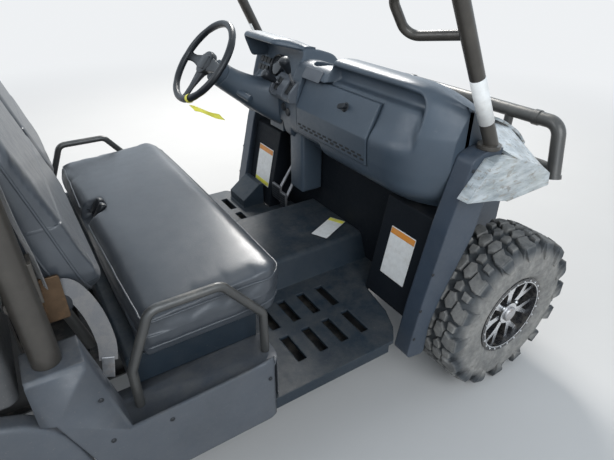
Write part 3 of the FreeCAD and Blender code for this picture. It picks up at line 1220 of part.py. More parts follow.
def make_lamps():
    pieces = box_pair("head_lamp", ("rail_front - 95", "lamp_in", "nose_top - lamp_drop - 64"),
                      ("rail_front - 13", "lamp_out", "nose_top - lamp_drop"))
    keep(grouped("lamps", pieces), "headlights")
    tails = box_pair("tail_lamp", ("bed_back + gate_thickness + 60", "bed_half + 0.2", "bed_floor_z + 60"),
                     ("bed_back + gate_thickness + 110", "bed_half + 14", "bed_floor_z + 180"))
    keep(grouped("tails", tails), "tail_lights")


# Cargo box and rear

def make_bed():
    body = new_body("bed_body")
    low = ("bed_back + gate_thickness", "-bed_half")
    outline = [low, ("bed_front", low[1], "25"), ("bed_front", "bed_half", "25"), (low[0], "bed_half")]
    sketch = new_sketch(body, "XY_Plane", offset="bed_under", loops=[outline])
    pad(body, sketch, "bed_depth + bed_floor_thickness")
    inner = [(f"{low[0]} - 5", "-(bed_half - bed_wall)"), ("bed_front - bed_wall", "-(bed_half - bed_wall)", "15"),
             ("bed_front - bed_wall", "bed_half - bed_wall", "15"), (f"{low[0]} - 5", "bed_half - bed_wall")]
    sketch = new_sketch(body, "XY_Plane", offset="bed_floor_z", loops=[inner])
    pocket(body, sketch, "bed_depth + 5")
    groove = [("bed_back + gate_thickness + 40", "-(bed_half - bed_wall - 60)"),
              ("bed_front - bed_wall - 60", "-(bed_half - bed_wall - 60)"),
              ("bed_front - bed_wall - 60", "-(bed_half - bed_wall - 60) + groove_width"),
              ("bed_back + gate_thickness + 40", "-(bed_half - bed_wall - 60) + groove_width")]
    sketch = new_sketch(body, "XY_Plane", offset="bed_floor_z - groove_depth", loops=[groove])
    first = pocket(body, sketch, "groove_depth + 1")
    row_of = body.newObject("PartDesign::LinearPattern", "bed_grooves")
    row_of.Originals = [first]
    row_of.Direction = (sketch, ["V_Axis"])
    bind(row_of, "Length", "2 * (bed_half - bed_wall - 60) - groove_width")
    bind(row_of, "Occurrences", "groove_count")
    body.Tip = row_of
    doc.recompute()
    for s in (1, -1):
        panels = []
        for k in range(3):
            x = f"bed_back + gate_thickness + 120 + {k} * 290"
            panels.append([(x, "bed_floor_z + 45", "18"), (f"{x} + 240", "bed_floor_z + 45", "18"),
                           (f"{x} + 240", "bed_floor_z + bed_depth - 55", "18"), (x, "bed_floor_z + bed_depth - 55", "18")])
        sketch = new_sketch(body, "XZ_Plane", offset=f"-{s} * (bed_half - groove_depth)", loops=panels)
        pocket(body, sketch, "groove_depth + 2", back=s > 0)
    for s in (1, -1):
        lug = [("bed_hinge_x - 24", "bed_hinge_z - 24", "20"), ("bed_hinge_x + 24", "bed_hinge_z - 24", "20"),
               ("bed_hinge_x + 24", "bed_under + 1"), ("bed_hinge_x - 24", "bed_under + 1")]
        sketch = new_sketch(body, "XZ_Plane", offset=f"-{s} * (rail_out + 6)", loops=[lug],
                            circles=[("bed_hinge_x", "bed_hinge_z", "bed_pin_radius + 0.6")])
        pad(body, sketch, "20", back=s > 0)
        ear = [("bed_back", "gate_pin_z - 7", "6.9"), (f"{low[0]} + 1", "gate_pin_z - 7"),
               (f"{low[0]} + 1", "gate_pin_z + 7"), ("bed_back", "gate_pin_z + 7", "6.9")]
        sketch = new_sketch(body, "XZ_Plane", offset=f"-{s} * 300", loops=[ear],
                            circles=[("bed_back + gate_pin_x", "gate_pin_z", "gate_pin_radius + 0.3")])
        pad(body, sketch, "20", back=s > 0)
    keep(body, "cargo_box")


def make_gate():
    body = new_body("gate_body")
    side = [("bed_back", "bed_floor_z + move_gap"), ("bed_back + gate_panel", "bed_floor_z + move_gap"),
            ("bed_back + gate_panel", "bed_floor_z + bed_depth"), ("bed_back", "bed_floor_z + bed_depth")]
    sketch = new_sketch(body, "XZ_Plane", offset="-(bed_half - 2)", loops=[side])
    pad(body, sketch, "2 * (bed_half - 2)")
    lug = [("bed_back", "gate_pin_z - 7", "5"), ("bed_back + 14", "gate_pin_z - 7", "5"),
           ("bed_back + 14", "bed_floor_z + move_gap + 1"), ("bed_back", "bed_floor_z + move_gap + 1")]
    for s in (1, -1):
        sketch = new_sketch(body, "XZ_Plane", offset=f"-{s} * 321", loops=[lug])
        pad(body, sketch, "20", back=s > 0)
        pin = new_sketch(body, "XZ_Plane", offset=f"-{s} * 302",
                         circles=[("bed_back + gate_pin_x", "gate_pin_z", "gate_pin_radius")])
        pad(body, pin, "20", back=s > 0)
    keep(body, "tailgate")


def make_rear_fenders():
    """A broad arch over each rear wheel."""
    tyre = val("tyre_radius")
    x, z = -val("axle_x"), tyre
    outer = Part.makeCylinder(400, 110, Vector(x, 592, z), Vector(0, 1, 0))
    inner = Part.makeCylinder(390, 112, Vector(x, 591, z), Vector(0, 1, 0))
    keep_box = Part.makeBox(1000, 200, 460, Vector(x - 500, 560, 505))
    left = outer.cut(inner).common(keep_box)
    left = left.cut(Part.makeBox(900, 300, 100, Vector(x - 450, 550, val("bed_under") - 62 + 50)))
    post = val("rail_out") - 5 + 0.3
    stay = Part.makeBox(24, 600 - post, 12, Vector(x + 83, post, 706))
    left = left.fuse(stay)
    keep(shaped("rear_fender_shape", Part.makeCompound([left, mirrored(left)])), "rear_fenders")


# Power train and steering gear

def make_power():
    engine = block("engine_block", ("-860", "-(rail_out - 10)", "floor_under + 0.3"),
                   ("bed_front - 66", "rail_out - 10", "bed_under - 60"))
    pieces = [block("transaxle", ("-1120", "-174.7", "330"), ("-940", "174.7", "560")),
              block("front_gearbox", ("930", "-174.7", "325"), ("1080", "174.7", "430"))]
    for end, axle in (("front", "axle_x"), ("rear", "-axle_x")):
        for s in (1, -1):
            pieces.append(rod(f"{end}_shaft_{s}", (axle, f"{s} * (rail_out + 0.3)", "tyre_radius"),
                              (axle, f"{s} * (kingpin_out - 44)", "tyre_radius"), "13"))
            pieces.append(rod(f"{end}_joint_{s}", (axle, f"{s} * (kingpin_out - 72)", "tyre_radius"),
                              (axle, f"{s} * (kingpin_out - 41)", "tyre_radius"), "24"))
    keep(grouped("power_parts", pieces[:2] + [fused("shafts_fused", pieces[2:])]), "drivetrain")
    body = rod("muffler_can", ("-1290", "-150", "540"), ("-1290", "150", "540"), "75")
    pipe = rod("tail_pipe", ("-1290", "-110", "540"), ("-1420", "-150", "470"), "20")
    hanger = [block("hanger_bar", ("-1305", "-200", "floor_under + 0.3"), ("-1275", "200", "420")),
              block("hanger_post", ("-1305", "-30", "415"), ("-1275", "30", "480"))]
    keep(grouped("engine_parts", [engine, fused("muffler_fused", [body, pipe] + hanger)]), "engine")


def make_rack():
    x, z = "axle_x - steer_arm", "tyre_radius - rack_drop"
    end = "kingpin_out - 16"
    bar = rod("rack_bar", (x, f"-({end})", z), (x, end, z), "rack_radius")
    ends = [rod(f"rack_end_{s}", (x, f"{s} * ({end})", f"{z} - 7.3"), (x, f"{s} * ({end})", f"{z} + 9"), "12")
            for s in (1, -1)]
    keep(fused("rack_fused", [bar] + ends), "steering_rack")


make_frame()
make_floor()
make_firewall()
make_arch_panels()
make_dash()
make_door()
make_pod()
make_console()
make_column()
make_steering_wheel()
make_pedals()
make_seat_base()
make_cushion()
make_backrest("backrest_driver", "100", "seat_half - 5")
make_backrest("backrest_passenger", "-(seat_half - 5)", "62")
make_seat_frame()
make_side_rails()
make_side_panels()
make_cage()
make_guard()
make_nose()
make_hood()
make_fenders()
make_lamps()
make_bed()
make_gate()
make_rear_fenders()
make_power()
make_rack()


# Checks and export

def finish():
    doc.recompute()
    for thing in doc.Objects:
        if "Invalid" in thing.State or "Error" in thing.State:
            raise ValueError(f"{thing.Label} failed: {thing.State}")
    os.makedirs("parts", exist_ok=True)
    for label, thing in sub_parts.items():
        shape = thing.Shape
        if shape.isNull() or not shape.isValid() or not shape.Solids:
            raise ValueError(f"{label} has no valid shape")
    for label, thing in sub_parts.items():
        thing.Shape.exportStep(f"parts/{label}.step")
    print(f"{len(sub_parts)} sub-parts written")


finish()
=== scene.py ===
import json
import math

import bmesh
import bpy
import numpy as np
from mathutils import Matrix, Vector
from mathutils.bvhtree import BVHTree


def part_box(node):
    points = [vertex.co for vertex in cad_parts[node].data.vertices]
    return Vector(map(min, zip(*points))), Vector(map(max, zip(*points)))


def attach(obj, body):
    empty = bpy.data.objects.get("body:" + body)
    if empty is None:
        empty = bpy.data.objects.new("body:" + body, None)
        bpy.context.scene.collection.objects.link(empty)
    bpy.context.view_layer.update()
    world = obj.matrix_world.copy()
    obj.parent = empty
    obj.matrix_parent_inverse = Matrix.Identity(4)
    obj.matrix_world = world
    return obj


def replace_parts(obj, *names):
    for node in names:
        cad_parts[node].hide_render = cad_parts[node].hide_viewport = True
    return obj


# A side by side utility vehicle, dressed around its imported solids.
# Row frame in metres: +X forward, +Y to the driver's side, +Z up. The cab's own datum lies 60 mm ahead of it.

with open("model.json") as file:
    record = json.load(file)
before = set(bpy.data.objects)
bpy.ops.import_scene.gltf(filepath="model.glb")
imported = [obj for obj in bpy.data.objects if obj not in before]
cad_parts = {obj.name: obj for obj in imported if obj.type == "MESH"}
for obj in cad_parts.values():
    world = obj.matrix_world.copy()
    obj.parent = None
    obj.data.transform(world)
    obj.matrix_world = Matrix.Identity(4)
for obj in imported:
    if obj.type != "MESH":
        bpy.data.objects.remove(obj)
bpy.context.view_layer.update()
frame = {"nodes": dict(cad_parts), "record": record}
nodes = frame["nodes"]
bodyOf = {name: body for body, members in frame["record"]["behaviour"]["bodies"].items() for name in members}
wheels = [(end, hand, side) for end in ("front", "rear") for hand, side in (("left", 1), ("right", -1))]
sides = (-1, 1)  # the passenger's, then the driver's
cabDatum = Vector((0.060, 0.0, 0.0))


def cab(x, y, z):  # a point given in millimetres from the cab's datum
    return Vector((x / 1000, y / 1000, z / 1000)) + cabDatum


def placed(name, data):
    made = bpy.data.objects.new(name, data)
    bpy.context.scene.collection.objects.link(made)
    return made


print("shader tools")


def feed(tree, slot, value):  # a wire is linked, anything else is the socket's own value
    if isinstance(value, Wire):
        tree.links.new(value.socket, slot)
    else:
        slot.default_value = value


def addNode(tree, kind, settings=None, inputs=None, output=0):
    made = tree.nodes.new("ShaderNode" + kind)
    for name, value in (settings or {}).items():
        setattr(made, name, value)
    for name, value in (inputs or {}).items():
        feed(tree, made.inputs[name], value)
    return Wire(tree, made.outputs[output]) if made.outputs else None


class Wire:
    # wraps one output socket, so that shader maths reads as a plain expression
    def __init__(self, tree, socket):
        self.tree, self.socket = tree, socket

    def combine(self, operation, *values):
        return addNode(self.tree, "Math", {"operation": operation}, dict(enumerate(values)))

    def __add__(self, other):
        return self.combine("ADD", self, other)

    def __radd__(self, other):
        return self.combine("ADD", other, self)

    def __sub__(self, other):
        return self.combine("SUBTRACT", self, other)

    def __rsub__(self, other):
        return self.combine("SUBTRACT", other, self)

    def __mul__(self, other):
        return self.combine("MULTIPLY", self, other)

    def __rmul__(self, other):
        return self.combine("MULTIPLY", other, self)

    def __pow__(self, other):
        return self.combine("POWER", self, other)

    def larger(self, other):
        return self.combine("MAXIMUM", self, other)

    def smaller(self, other):
        return self.combine("MINIMUM", self, other)

    def absolute(self):
        return self.combine("ABSOLUTE", self)


class Finish:
    # one procedural material: node() adds any node, and the rest are short ways to use it
    def __init__(self, name, edgeRadius=0.003, **constants):
        self.edgeRadius = edgeRadius
        self.material = bpy.data.materials.new(name)
        self.material.use_nodes = True
        self.tree = self.material.node_tree
        self.shader = self.tree.nodes["Principled BSDF"]
        self.link(**constants)

    def node(self, kind, settings=None, inputs=None, output=0):
        return addNode(self.tree, kind, settings, inputs, output)

    def coords(self, which="Object"):
        return self.node("TexCoord", output=which)

    def mapped(self, **how):
        return self.node("Mapping", None, {"Vector": self.coords(), **how})

    def parts(self, vector):
        split = self.node("SeparateXYZ", None, {"Vector": vector}).socket.node
        return [Wire(self.tree, output) for output in split.outputs]

    def noise(self, scale, detail=3, rough=0.5, vector=None):
        return self.node("TexNoise", None, {"Vector": vector or self.coords(), "Scale": scale, "Detail": detail,
                                            "Roughness": rough}, "Fac")

    def cells(self, scale, feature="F1"):
        return self.node("TexVoronoi", {"feature": feature}, {"Vector": self.coords(), "Scale": scale})

    def wave(self, direction, scale):
        return self.node("TexWave", {"bands_direction": direction}, {"Vector": self.coords(), "Scale": scale})

    def between(self, value, low, high, toLow=0.0, toHigh=1.0):
        return self.node("MapRange", {"clamp": True}, {"Value": value, "From Min": low, "From Max": high,
                                                       "To Min": toLow, "To Max": toHigh})

    def patches(self, scale, detail, rough, low, high, toLow=0.0, toHigh=1.0):
        return self.between(self.noise(scale, detail, rough), low, high, toLow, toHigh)

    def mix(self, mask, first, second):
        return self.node("Mix", {"data_type": "RGBA"}, {0: mask, 6: first, 7: second}, 2)

    def bump(self, height, strength, distance, normal=None):
        return self.node("Bump", None, {"Height": height, "Strength": strength, "Distance": distance,
                                        "Normal": normal or self.softEdge()})

    def softEdge(self):  # moulded and bent edges catch the light as if rounded
        return self.node("Bevel", {"samples": 6}, {"Radius": self.edgeRadius})

    def upward(self):  # how far a face looks up, from 0 to 1, in the piece's own frame
        return self.between(self.parts(self.coords("Normal"))[2], 0.35, 1.0)

    def fromAxle(self, span):
        # the distance from the axle and the share across, read from the piece's own box of that height
        gx, gy, gz = self.parts(self.coords("Generated"))
        ahead, up = (gx - 0.5) * span, (gz - 0.5) * span
        return (ahead * ahead + up * up) ** 0.5, gy

    def link(self, **sockets):
        for name, value in sockets.items():
            feed(self.tree, self.shader.inputs[name.replace("_", " ")], value)
        return self.material


def tone(red, green, blue):
    return (red, green, blue, 1.0)


def shade(colour, share):
    return (*(min(1, c * share) for c in colour[:3]), 1)


print("camera and studio")

cameraSetup = {
    "place": (-0.3876, -1.5577, 1.5688),
    "yaw": 57.4, "pitch": -30.6, "roll": 0.2,  # degrees
    "lens": 28.21, "sensor": 36,
}
studio = {
    "floorColour": tone(0.56, 0.55, 0.535),
    # colour and strength of the backdrop as it lights the part, as the camera sees it and as shiny faces see it
    "fill": (tone(0.77, 0.88, 1.0), 0.55),
    "seen": (tone(0.86, 0.88, 0.90), 1.0),
    "gloss": (tone(0.80, 0.90, 1.0), 1.15),
    "lamps": (  # name, place, target, size, power, colour
        ("keyLamp", (3.1, 4.1, 4.7), (0.1, 0, 0.8), 2.2, 420, (1.0, 0.975, 0.94)),
        ("skyLamp", (-0.6, -4.8, 3.6), (0.3, 0, 0.8), 4.5, 190, (0.90, 0.95, 1.0)),
        ("backLamp", (-4.5, 0.5, 3.6), (0, 0, 0.9), 3.5, 110, (0.95, 0.97, 1.0)),
    ),
    "fade": (2.8, 7.0),  # the floor turns into the backdrop between these distances
}


def makeCamera():
    data = bpy.data.cameras.new("photoCamera")
    data.sensor_width, data.lens = cameraSetup["sensor"], cameraSetup["lens"]
    data.clip_start, data.clip_end = 0.05, 200
    eye = placed("photoCamera", data)
    yaw, pitch, roll = (math.radians(cameraSetup[k]) for k in ("yaw", "pitch", "roll"))
    ahead = Vector((math.cos(pitch) * math.cos(yaw), math.cos(pitch) * math.sin(yaw), math.sin(pitch)))
    turn = ahead.to_track_quat("-Z", "Y").to_matrix().to_4x4()
    eye.matrix_world = Matrix.Translation(Vector(cameraSetup["place"])) @ turn @ Matrix.Rotation(roll, 4, "Z")
    bpy.context.scene.camera = eye


def makeLamp(name, place, target, size, power, colour):
    data = bpy.data.lights.new(name, "AREA")
    data.shape, data.size, data.energy, data.color = "DISK", size, power, colour
    lamp = placed(name, data)
    lamp.location = place
    lamp.rotation_euler = (Vector(target) - Vector(place)).to_track_quat("-Z", "Y").to_euler()


def makeBackdrop():
    world = bpy.data.worlds.new("studioSky")
    bpy.context.scene.world = world
    world.use_nodes = True
    tree = world.node_tree
    tree.nodes.clear()
    fill, seen, gloss = (addNode(tree, "Background", None, {"Color": studio[use][0], "Strength": studio[use][1]})
                         for use in ("fill", "seen", "gloss"))
    camera, through, shiny = (addNode(tree, "LightPath", output=f"Is {ray} Ray")
                              for ray in ("Camera", "Transmission", "Glossy"))
    plain = addNode(tree, "MixShader", None, {0: camera.larger(through), 1: fill, 2: seen})
    whole = addNode(tree, "MixShader", None, {0: shiny, 1: plain, 2: gloss})
    addNode(tree, "OutputWorld", None, {"Surface": whole})


makeCamera()
bpy.context.scene.view_settings.view_transform = "Standard"
makeBackdrop()
for lamp in studio["lamps"]:
    makeLamp(*lamp)

print("finishes")

dustTone = tone(0.42, 0.37, 0.30)


def mouldedPlastic(name, colour, roughness, dust, grain=900, pale=1.25, edge=0.008, shine=0.5):
    f = Finish(name, edge, Specular_IOR_Level=shine)
    fine = f.noise(60, 4, 0.65)
    base = f.mix(f.patches(5, 5, 0.6, 0.35, 0.7), colour, shade(colour, pale))
    dusty = f.patches(14, 8, 0.78, 0.38, 0.80) * (f.upward() * 0.8 + 0.2) * dust
    specks = f.patches(260, 2, 0.6, 0.68, 0.76) * dust
    scuffs = f.between(f.noise(7, 8, 0.85, f.mapped(Scale=(1, 6, 3))), 0.63, 0.70) * 0.10
    base = f.mix((dusty + specks).smaller(1.0), base, dustTone)
    base = f.mix(scuffs, base, tone(0.5, 0.5, 0.5))
    rough = f.between(fine, 0.3, 0.75, roughness - 0.07, roughness + 0.10) + dusty * 0.4
    height = f.cells(grain) * 0.6 + fine * 0.4
    return f.link(Base_Color=base, Roughness=rough, Normal=f.bump(height, 0.16, 0.0006))


def seatVinyl():
    f = Finish("seatVinyl", Specular_IOR_Level=0.55)
    worn = f.patches(11, 6, 0.7, 0.45, 0.8)
    base = f.mix(f.patches(4, 5, 0.6, 0.3, 0.75), tone(0.036, 0.042, 0.050), tone(0.058, 0.065, 0.075))
    base = f.mix(worn * 0.18, base, tone(0.13, 0.135, 0.14))
    grain = f.cells(620, "SMOOTH_F1") * 0.7 + f.noise(900, 2, 0.5) * 0.3
    creases = f.between(f.noise(9, 3, 0.5, f.mapped(Scale=(1, 0.45, 1))), 0.30, 0.70)
    rough = f.patches(30, 4, 0.6, 0.3, 0.7, 0.30, 0.38) + worn * 0.04
    normal = f.bump(grain, 0.35, 0.0007, f.bump(creases, 0.10, 0.0035))
    return f.link(Base_Color=base, Roughness=rough, Normal=normal)


def tubePaint(name, colour, roughness=0.36, metallic=0.35):
    f = Finish(name, Metallic=metallic, Specular_IOR_Level=0.5, Coat_Weight=0.15, Coat_Roughness=0.25)
    base = f.mix(f.patches(6, 4, 0.6, 0.35, 0.7), colour, shade(colour, 1.22))
    dusty = f.patches(16, 6, 0.7, 0.45, 0.8) * (f.upward() * 0.8 + 0.15) * 0.4
    base = f.mix(dusty, base, dustTone)
    base = f.mix(f.patches(75, 6, 0.8, 0.70, 0.74) * 0.5, base, tone(0.06, 0.05, 0.04))
    rough = f.patches(110, 3, 0.6, 0.3, 0.7, roughness - 0.04, roughness + 0.08) + dusty * 0.5
    return f.link(Base_Color=base, Roughness=rough, Normal=f.bump(f.noise(1100, 2, 0.5), 0.10, 0.0004))


def tyreRubber():
    # tan dust lies on the side walls; the lug tops are tan too, and the crown between the lugs stays dark
    f = Finish("tyreSidewall", Specular_IOR_Level=0.35)
    radius, across = f.fromAxle(0.66)
    base = f.mix(f.patches(40, 5, 0.65, 0.35, 0.7), tone(0.040, 0.044, 0.048), tone(0.085, 0.092, 0.098))
    tan = f.mix(f.patches(50, 4, 0.6, 0.3, 0.7), tone(0.215, 0.205, 0.188), tone(0.33, 0.318, 0.295))
    dust = f.patches(14, 6, 0.72, 0.30, 0.62) * 0.55
    flank = f.between(radius, 0.300, 0.262) * f.between((across - 0.5).absolute(), 0.30, 0.40)
    mask = flank * (dust + 0.34) + (1 - flank) * f.between(radius, 0.313, 0.323) * (dust + 0.12)
    middle = f.node("VectorMath", {"operation": "SUBTRACT"}, {0: f.coords("Generated"), 1: (0.5, 0.5, 0.5)})
    rings = f.node("TexWave", {"wave_type": "RINGS", "rings_direction": "Y"}, {"Vector": middle, "Scale": 26})
    base = f.mix(mask.smaller(1.0), base, tan)
    rough = f.patches(80, 4, 0.6, 0.3, 0.7, 0.62, 0.82)
    height = f.noise(160, 5, 0.7) * 0.8 + rings * 0.25
    return f.link(Base_Color=base, Roughness=rough, Normal=f.bump(height, 0.35, 0.0012))


def wheelFinish():
    # gloss black, with the faces that look straight outwards machined bright
    f = Finish("wheelFinish", Specular_IOR_Level=0.6)
    flat = f.between(f.parts(f.coords("Normal"))[1].absolute(), 0.93, 0.98)
    face = flat * f.between(f.fromAxle(0.332)[0], 0.152, 0.149)
    brushed = f.noise(420, 3, 0.6, f.mapped(Scale=(1, 0.2, 1)))
    dusty = f.patches(22, 6, 0.7, 0.45, 0.8) * 0.35
    silver = f.mix(f.between(brushed, 0.3, 0.7), tone(0.62, 0.63, 0.65), tone(0.80, 0.81, 0.83))
    black = f.mix(f.patches(9, 4, 0.6, 0.4, 0.7), tone(0.018, 0.018, 0.020), tone(0.035, 0.035, 0.038))
    base = f.mix(dusty, f.mix(face, black, silver), dustTone)
    rough = f.between(brushed, 0.3, 0.7, 0.20, 0.32) + dusty * 0.6
    return f.link(Base_Color=base, Metallic=face * 0.9, Roughness=rough,
                  Normal=f.bump(brushed * face, 0.05, 0.0003))


def streakedPanel():
    # a generic woodland streak pattern in pale greys and browns
    f = Finish("streakedPanel", Specular_IOR_Level=0.5, Coat_Weight=0.35, Coat_Roughness=0.12)
    leaning = f.mapped(Rotation=(0.3, 0.55, 0.25), Scale=(2.2, 2.2, 9.0))
    crossing = f.mapped(Rotation=(0.9, 0.2, 0.7), Scale=(1.2, 7.0, 1.6))
    bark = f.noise(11.0, 8, 0.70, leaning)
    broad = f.between(f.noise(5.0, 6, 0.62, leaning), 0.36, 0.62)
    base = f.mix(broad, tone(0.20, 0.235, 0.25), tone(0.48, 0.515, 0.53))
    base = f.mix(f.between(bark, 0.55, 0.62) * 0.85, base, tone(0.24, 0.215, 0.175))
    base = f.mix(f.between(f.noise(20.0, 4, 0.55, crossing), 0.62, 0.66) * 0.7, base, tone(0.16, 0.15, 0.13))
    base = f.mix(f.patches(3.0, 5, 0.6, 0.55, 0.75) * 0.5, base, tone(0.60, 0.62, 0.58))
    dusty = f.patches(10, 6, 0.7, 0.5, 0.8) * 0.3
    rough = f.between(bark, 0.3, 0.7, 0.24, 0.38) + dusty * 0.4
    return f.link(Base_Color=f.mix(dusty, base, dustTone), Roughness=rough,
                  Normal=f.bump(f.noise(500, 2, 0.5), 0.05, 0.0004))


def plainMetal(name, colour, roughness, rust):
    f = Finish(name, Metallic=0.9)
    base = f.mix(f.patches(30, 5, 0.65, 0.35, 0.7), colour, shade(colour, 0.72))
    stain = f.patches(18, 7, 0.75, 0.52, 0.72) * rust
    rough = f.patches(90, 4, 0.6, 0.3, 0.7, roughness - 0.08, roughness + 0.12) + stain * 0.4
    return f.link(Base_Color=f.mix(stain, base, tone(0.26, 0.15, 0.08)), Roughness=rough,
                  Normal=f.bump(f.noise(300, 3, 0.6), 0.12, 0.0005))


def lensGlass(name, colour, roughness=0.08, alpha=0.45):
    f = Finish(name, Specular_IOR_Level=0.6, Coat_Weight=0.3, Alpha=alpha)
    tint = f.patches(20, 3, 0.5, 0.3, 0.7)
    return f.link(Base_Color=f.mix(tint, colour, shade(colour, 0.9)),
                  Roughness=f.between(tint, 0, 1, roughness, roughness + 0.06),
                  Normal=f.bump(f.wave("Y", 90), 0.10, 0.0010))


def webbing():
    f = Finish("beltWebbing", Sheen_Weight=0.25)
    weave, rib = f.wave("DIAGONAL", 300), f.wave("X", 180)
    base = f.mix(f.between(weave * 0.5 + rib * 0.5, 0.2, 0.8), tone(0.10, 0.10, 0.105), tone(0.20, 0.20, 0.205))
    base = f.mix(f.patches(24, 5, 0.7, 0.45, 0.8) * 0.3, base, dustTone)
    rough = f.between(rib, 0, 1, 0.68, 0.85)
    return f.link(Base_Color=base, Roughness=rough, Normal=f.bump(weave + rib, 0.5, 0.0008))


def paperLabel(name, colour):
    f = Finish(name, Specular_IOR_Level=0.4)
    faded = f.patches(60, 4, 0.6, 0.35, 0.7)
    base = f.mix(faded, colour, shade(colour, 0.9))
    base = f.mix(f.patches(22, 6, 0.7, 0.48, 0.78) * 0.35, base, dustTone)
    return f.link(Base_Color=base, Roughness=f.between(faded, 0, 1, 0.35, 0.5),
                  Normal=f.bump(f.noise(200, 2), 0.05, 0.0003))


finishes = {
    "dash": mouldedPlastic("dashPlastic", tone(0.041, 0.057, 0.076), 0.40, 0.07),
    "panel": mouldedPlastic("archPlastic", tone(0.028, 0.040, 0.058), 0.38, 0.14),
    "side": mouldedPlastic("sidePlastic", tone(0.058, 0.066, 0.078), 0.45, 0.22),
    # the floor's own dark navy, made darker still as painted shade for the shade that falls in the footwells
    "floor": mouldedPlastic("floorPlastic", tone(0.012, 0.020, 0.029), 0.46, 0.13, shine=0.32),
    # the firewall's own near-black, made darker still as painted shade for the deep shade in the footwells
    "well": mouldedPlastic("wellPlasticDarkenedForShade", tone(0.006, 0.008, 0.011), 0.58, 0.04, shine=0.12),
    "console": mouldedPlastic("consolePlastic", tone(0.082, 0.092, 0.106), 0.36, 0.05, 900, 1.2, 0.004),
    "trim": mouldedPlastic("trimPlastic", tone(0.010, 0.012, 0.015), 0.36, 0.05, 900, 1.25, 0.002, 0.36),
    "dark": mouldedPlastic("deepPlastic", tone(0.004, 0.0045, 0.005), 0.6, 0.03, 900, 1.25, 0.001),
    "bed": mouldedPlastic("bedLiner", tone(0.045, 0.047, 0.050), 0.55, 0.40, 500),
    "seat": seatVinyl(),
    "cage": tubePaint("cagePaint", tone(0.050, 0.045, 0.039)),
    "guard": tubePaint("guardPaint", tone(0.072, 0.070, 0.066)),
    "rail": tubePaint("railPaint", tone(0.060, 0.060, 0.058)),
    "chassis": tubePaint("chassisPaint", tone(0.022, 0.022, 0.023), 0.45, 0.1),
    "tyre": tyreRubber(),
    "wheel": wheelFinish(),
    "body": streakedPanel(),
    "steel": plainMetal("bareSteel", tone(0.50, 0.50, 0.51), 0.35, 0.5),
    "bolt": plainMetal("zincBolt", tone(0.60, 0.60, 0.60), 0.30, 0.25),
    "cast": plainMetal("castAlloy", tone(0.30, 0.30, 0.31), 0.50, 0.3),
    "rust": plainMetal("brownedSteel", tone(0.120, 0.078, 0.048), 0.55, 0.8),
    "dial": mouldedPlastic("dialGlass", tone(0.016, 0.018, 0.021), 0.10, 0.03, 300, 1.2, 0.001),
    "lens": lensGlass("clearLens", tone(0.86, 0.88, 0.90)),
    "redLens": lensGlass("redLens", tone(0.55, 0.02, 0.02), 0.12, 0.9),
    "belt": webbing(),
    "white": paperLabel("blankLabel", tone(0.78, 0.78, 0.76)),
    "orange": paperLabel("orangeBand", tone(0.72, 0.28, 0.05)),
    "yellow": paperLabel("yellowTag", tone(0.86, 0.80, 0.10)),
}

nodeFinish = {
    "dash": ("dashboard", "instrument_pod", "glovebox_door", "steering_column"),
    "trim": ("gear_levers", "steering_wheel"),
    "well": ("firewall",),
    "floor": ("floor_pan", "seat_base"),
    "panel": ("front_arch_panels", "nose", "rear_fenders"),
    "side": ("side_panels",),
    "seat": ("seat_cushion", "backrest_driver", "backrest_passenger"),
    "rail": ("seat_frame", "seat_side_rails"),
    "cage": ("roll_cage",),
    "guard": ("brush_guard",),
    "body": ("hood", "front_fenders"),
    "lens": ("headlights",),
    "redLens": ("tail_lights",),
    "bed": ("cargo_box", "tailgate"),
    "cast": ("pedals", "engine", "drivetrain", "front_knuckle_left", "front_knuckle_right", "rear_knuckles"),
    "steel": ("steering_rack",),
    "chassis": ("suspension_arms", "shock_absorbers", "frame_rails"),
    "tyre": [f"{end}_tyre_{hand}" for end, hand, side in wheels],
    "wheel": [f"{end}_rim_{hand}" for end, hand, side in wheels],
}
for finish, names in nodeFinish.items():
    for name in names:
        nodes[name].data.materials.clear()
        nodes[name].data.materials.append(finishes[finish])
        for polygon in nodes[name].data.polygons:
            polygon.material_index = 0

print("mesh tools")

slotFinishes = {  # the part's own material slot behind each finish, where a piece names no other
    "dark_plastic": ("dash", "console", "trim", "dark", "well"),
    "body_panel": ("side", "white", "orange", "yellow"),
    "seat_vinyl": ("seat", "belt"),
    "bare_steel": ("steel", "bolt", "rust"),
    "tyre_rubber": ("tyre",),
    "lamp_lens": ("dial",),
}
slotOf = {finish: slot for slot, members in slotFinishes.items() for finish in members}


def soften(mesh, sharp):  # smooth, but for edges above the angle; 0 leaves no hard edge
    mesh.polygons.foreach_set("use_smooth", [True] * len(mesh.polygons))
    if sharp:
        mesh.set_sharp_from_angle(angle=math.radians(sharp))


def addPiece(name, mesh, finish, body="chassis", slot=None, sharp=0):
    mesh.materials.clear()
    mesh.materials.append(finishes[finish])
    if sharp is not None:
        soften(mesh, sharp)
    made = placed(name, mesh)
    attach(made, body)
    slot or slotOf[finish]
    return made


def loft(name, rings, finish, body="chassis", sharp=0):
    # a closed skin through rings of as many points each
    count, last = len(rings[0]), len(rings) - 1
    faces = [(i * count + k, i * count + (k + 1) % count, (i + 1) * count + (k + 1) % count, (i + 1) * count + k)
             for i in range(last) for k in range(count)]
    faces += [tuple(range(count))[::-1], tuple(last * count + k for k in range(count))]
    return addPiece(name, meshFrom(name, [p for ring in rings for p in ring], faces), finish, body, None, sharp)


def meshFrom(name, points, faces):
    mesh = bpy.data.meshes.new(name)
    mesh.from_pydata([tuple(p) for p in points], [], faces)
    mesh.validate()
    mesh.update()
    return mesh


def fromBmesh(name, bm):
    bmesh.ops.recalc_face_normals(bm, faces=bm.faces)
    mesh = bpy.data.meshes.new(name)
    bm.to_mesh(mesh)
    bm.free()
    return mesh


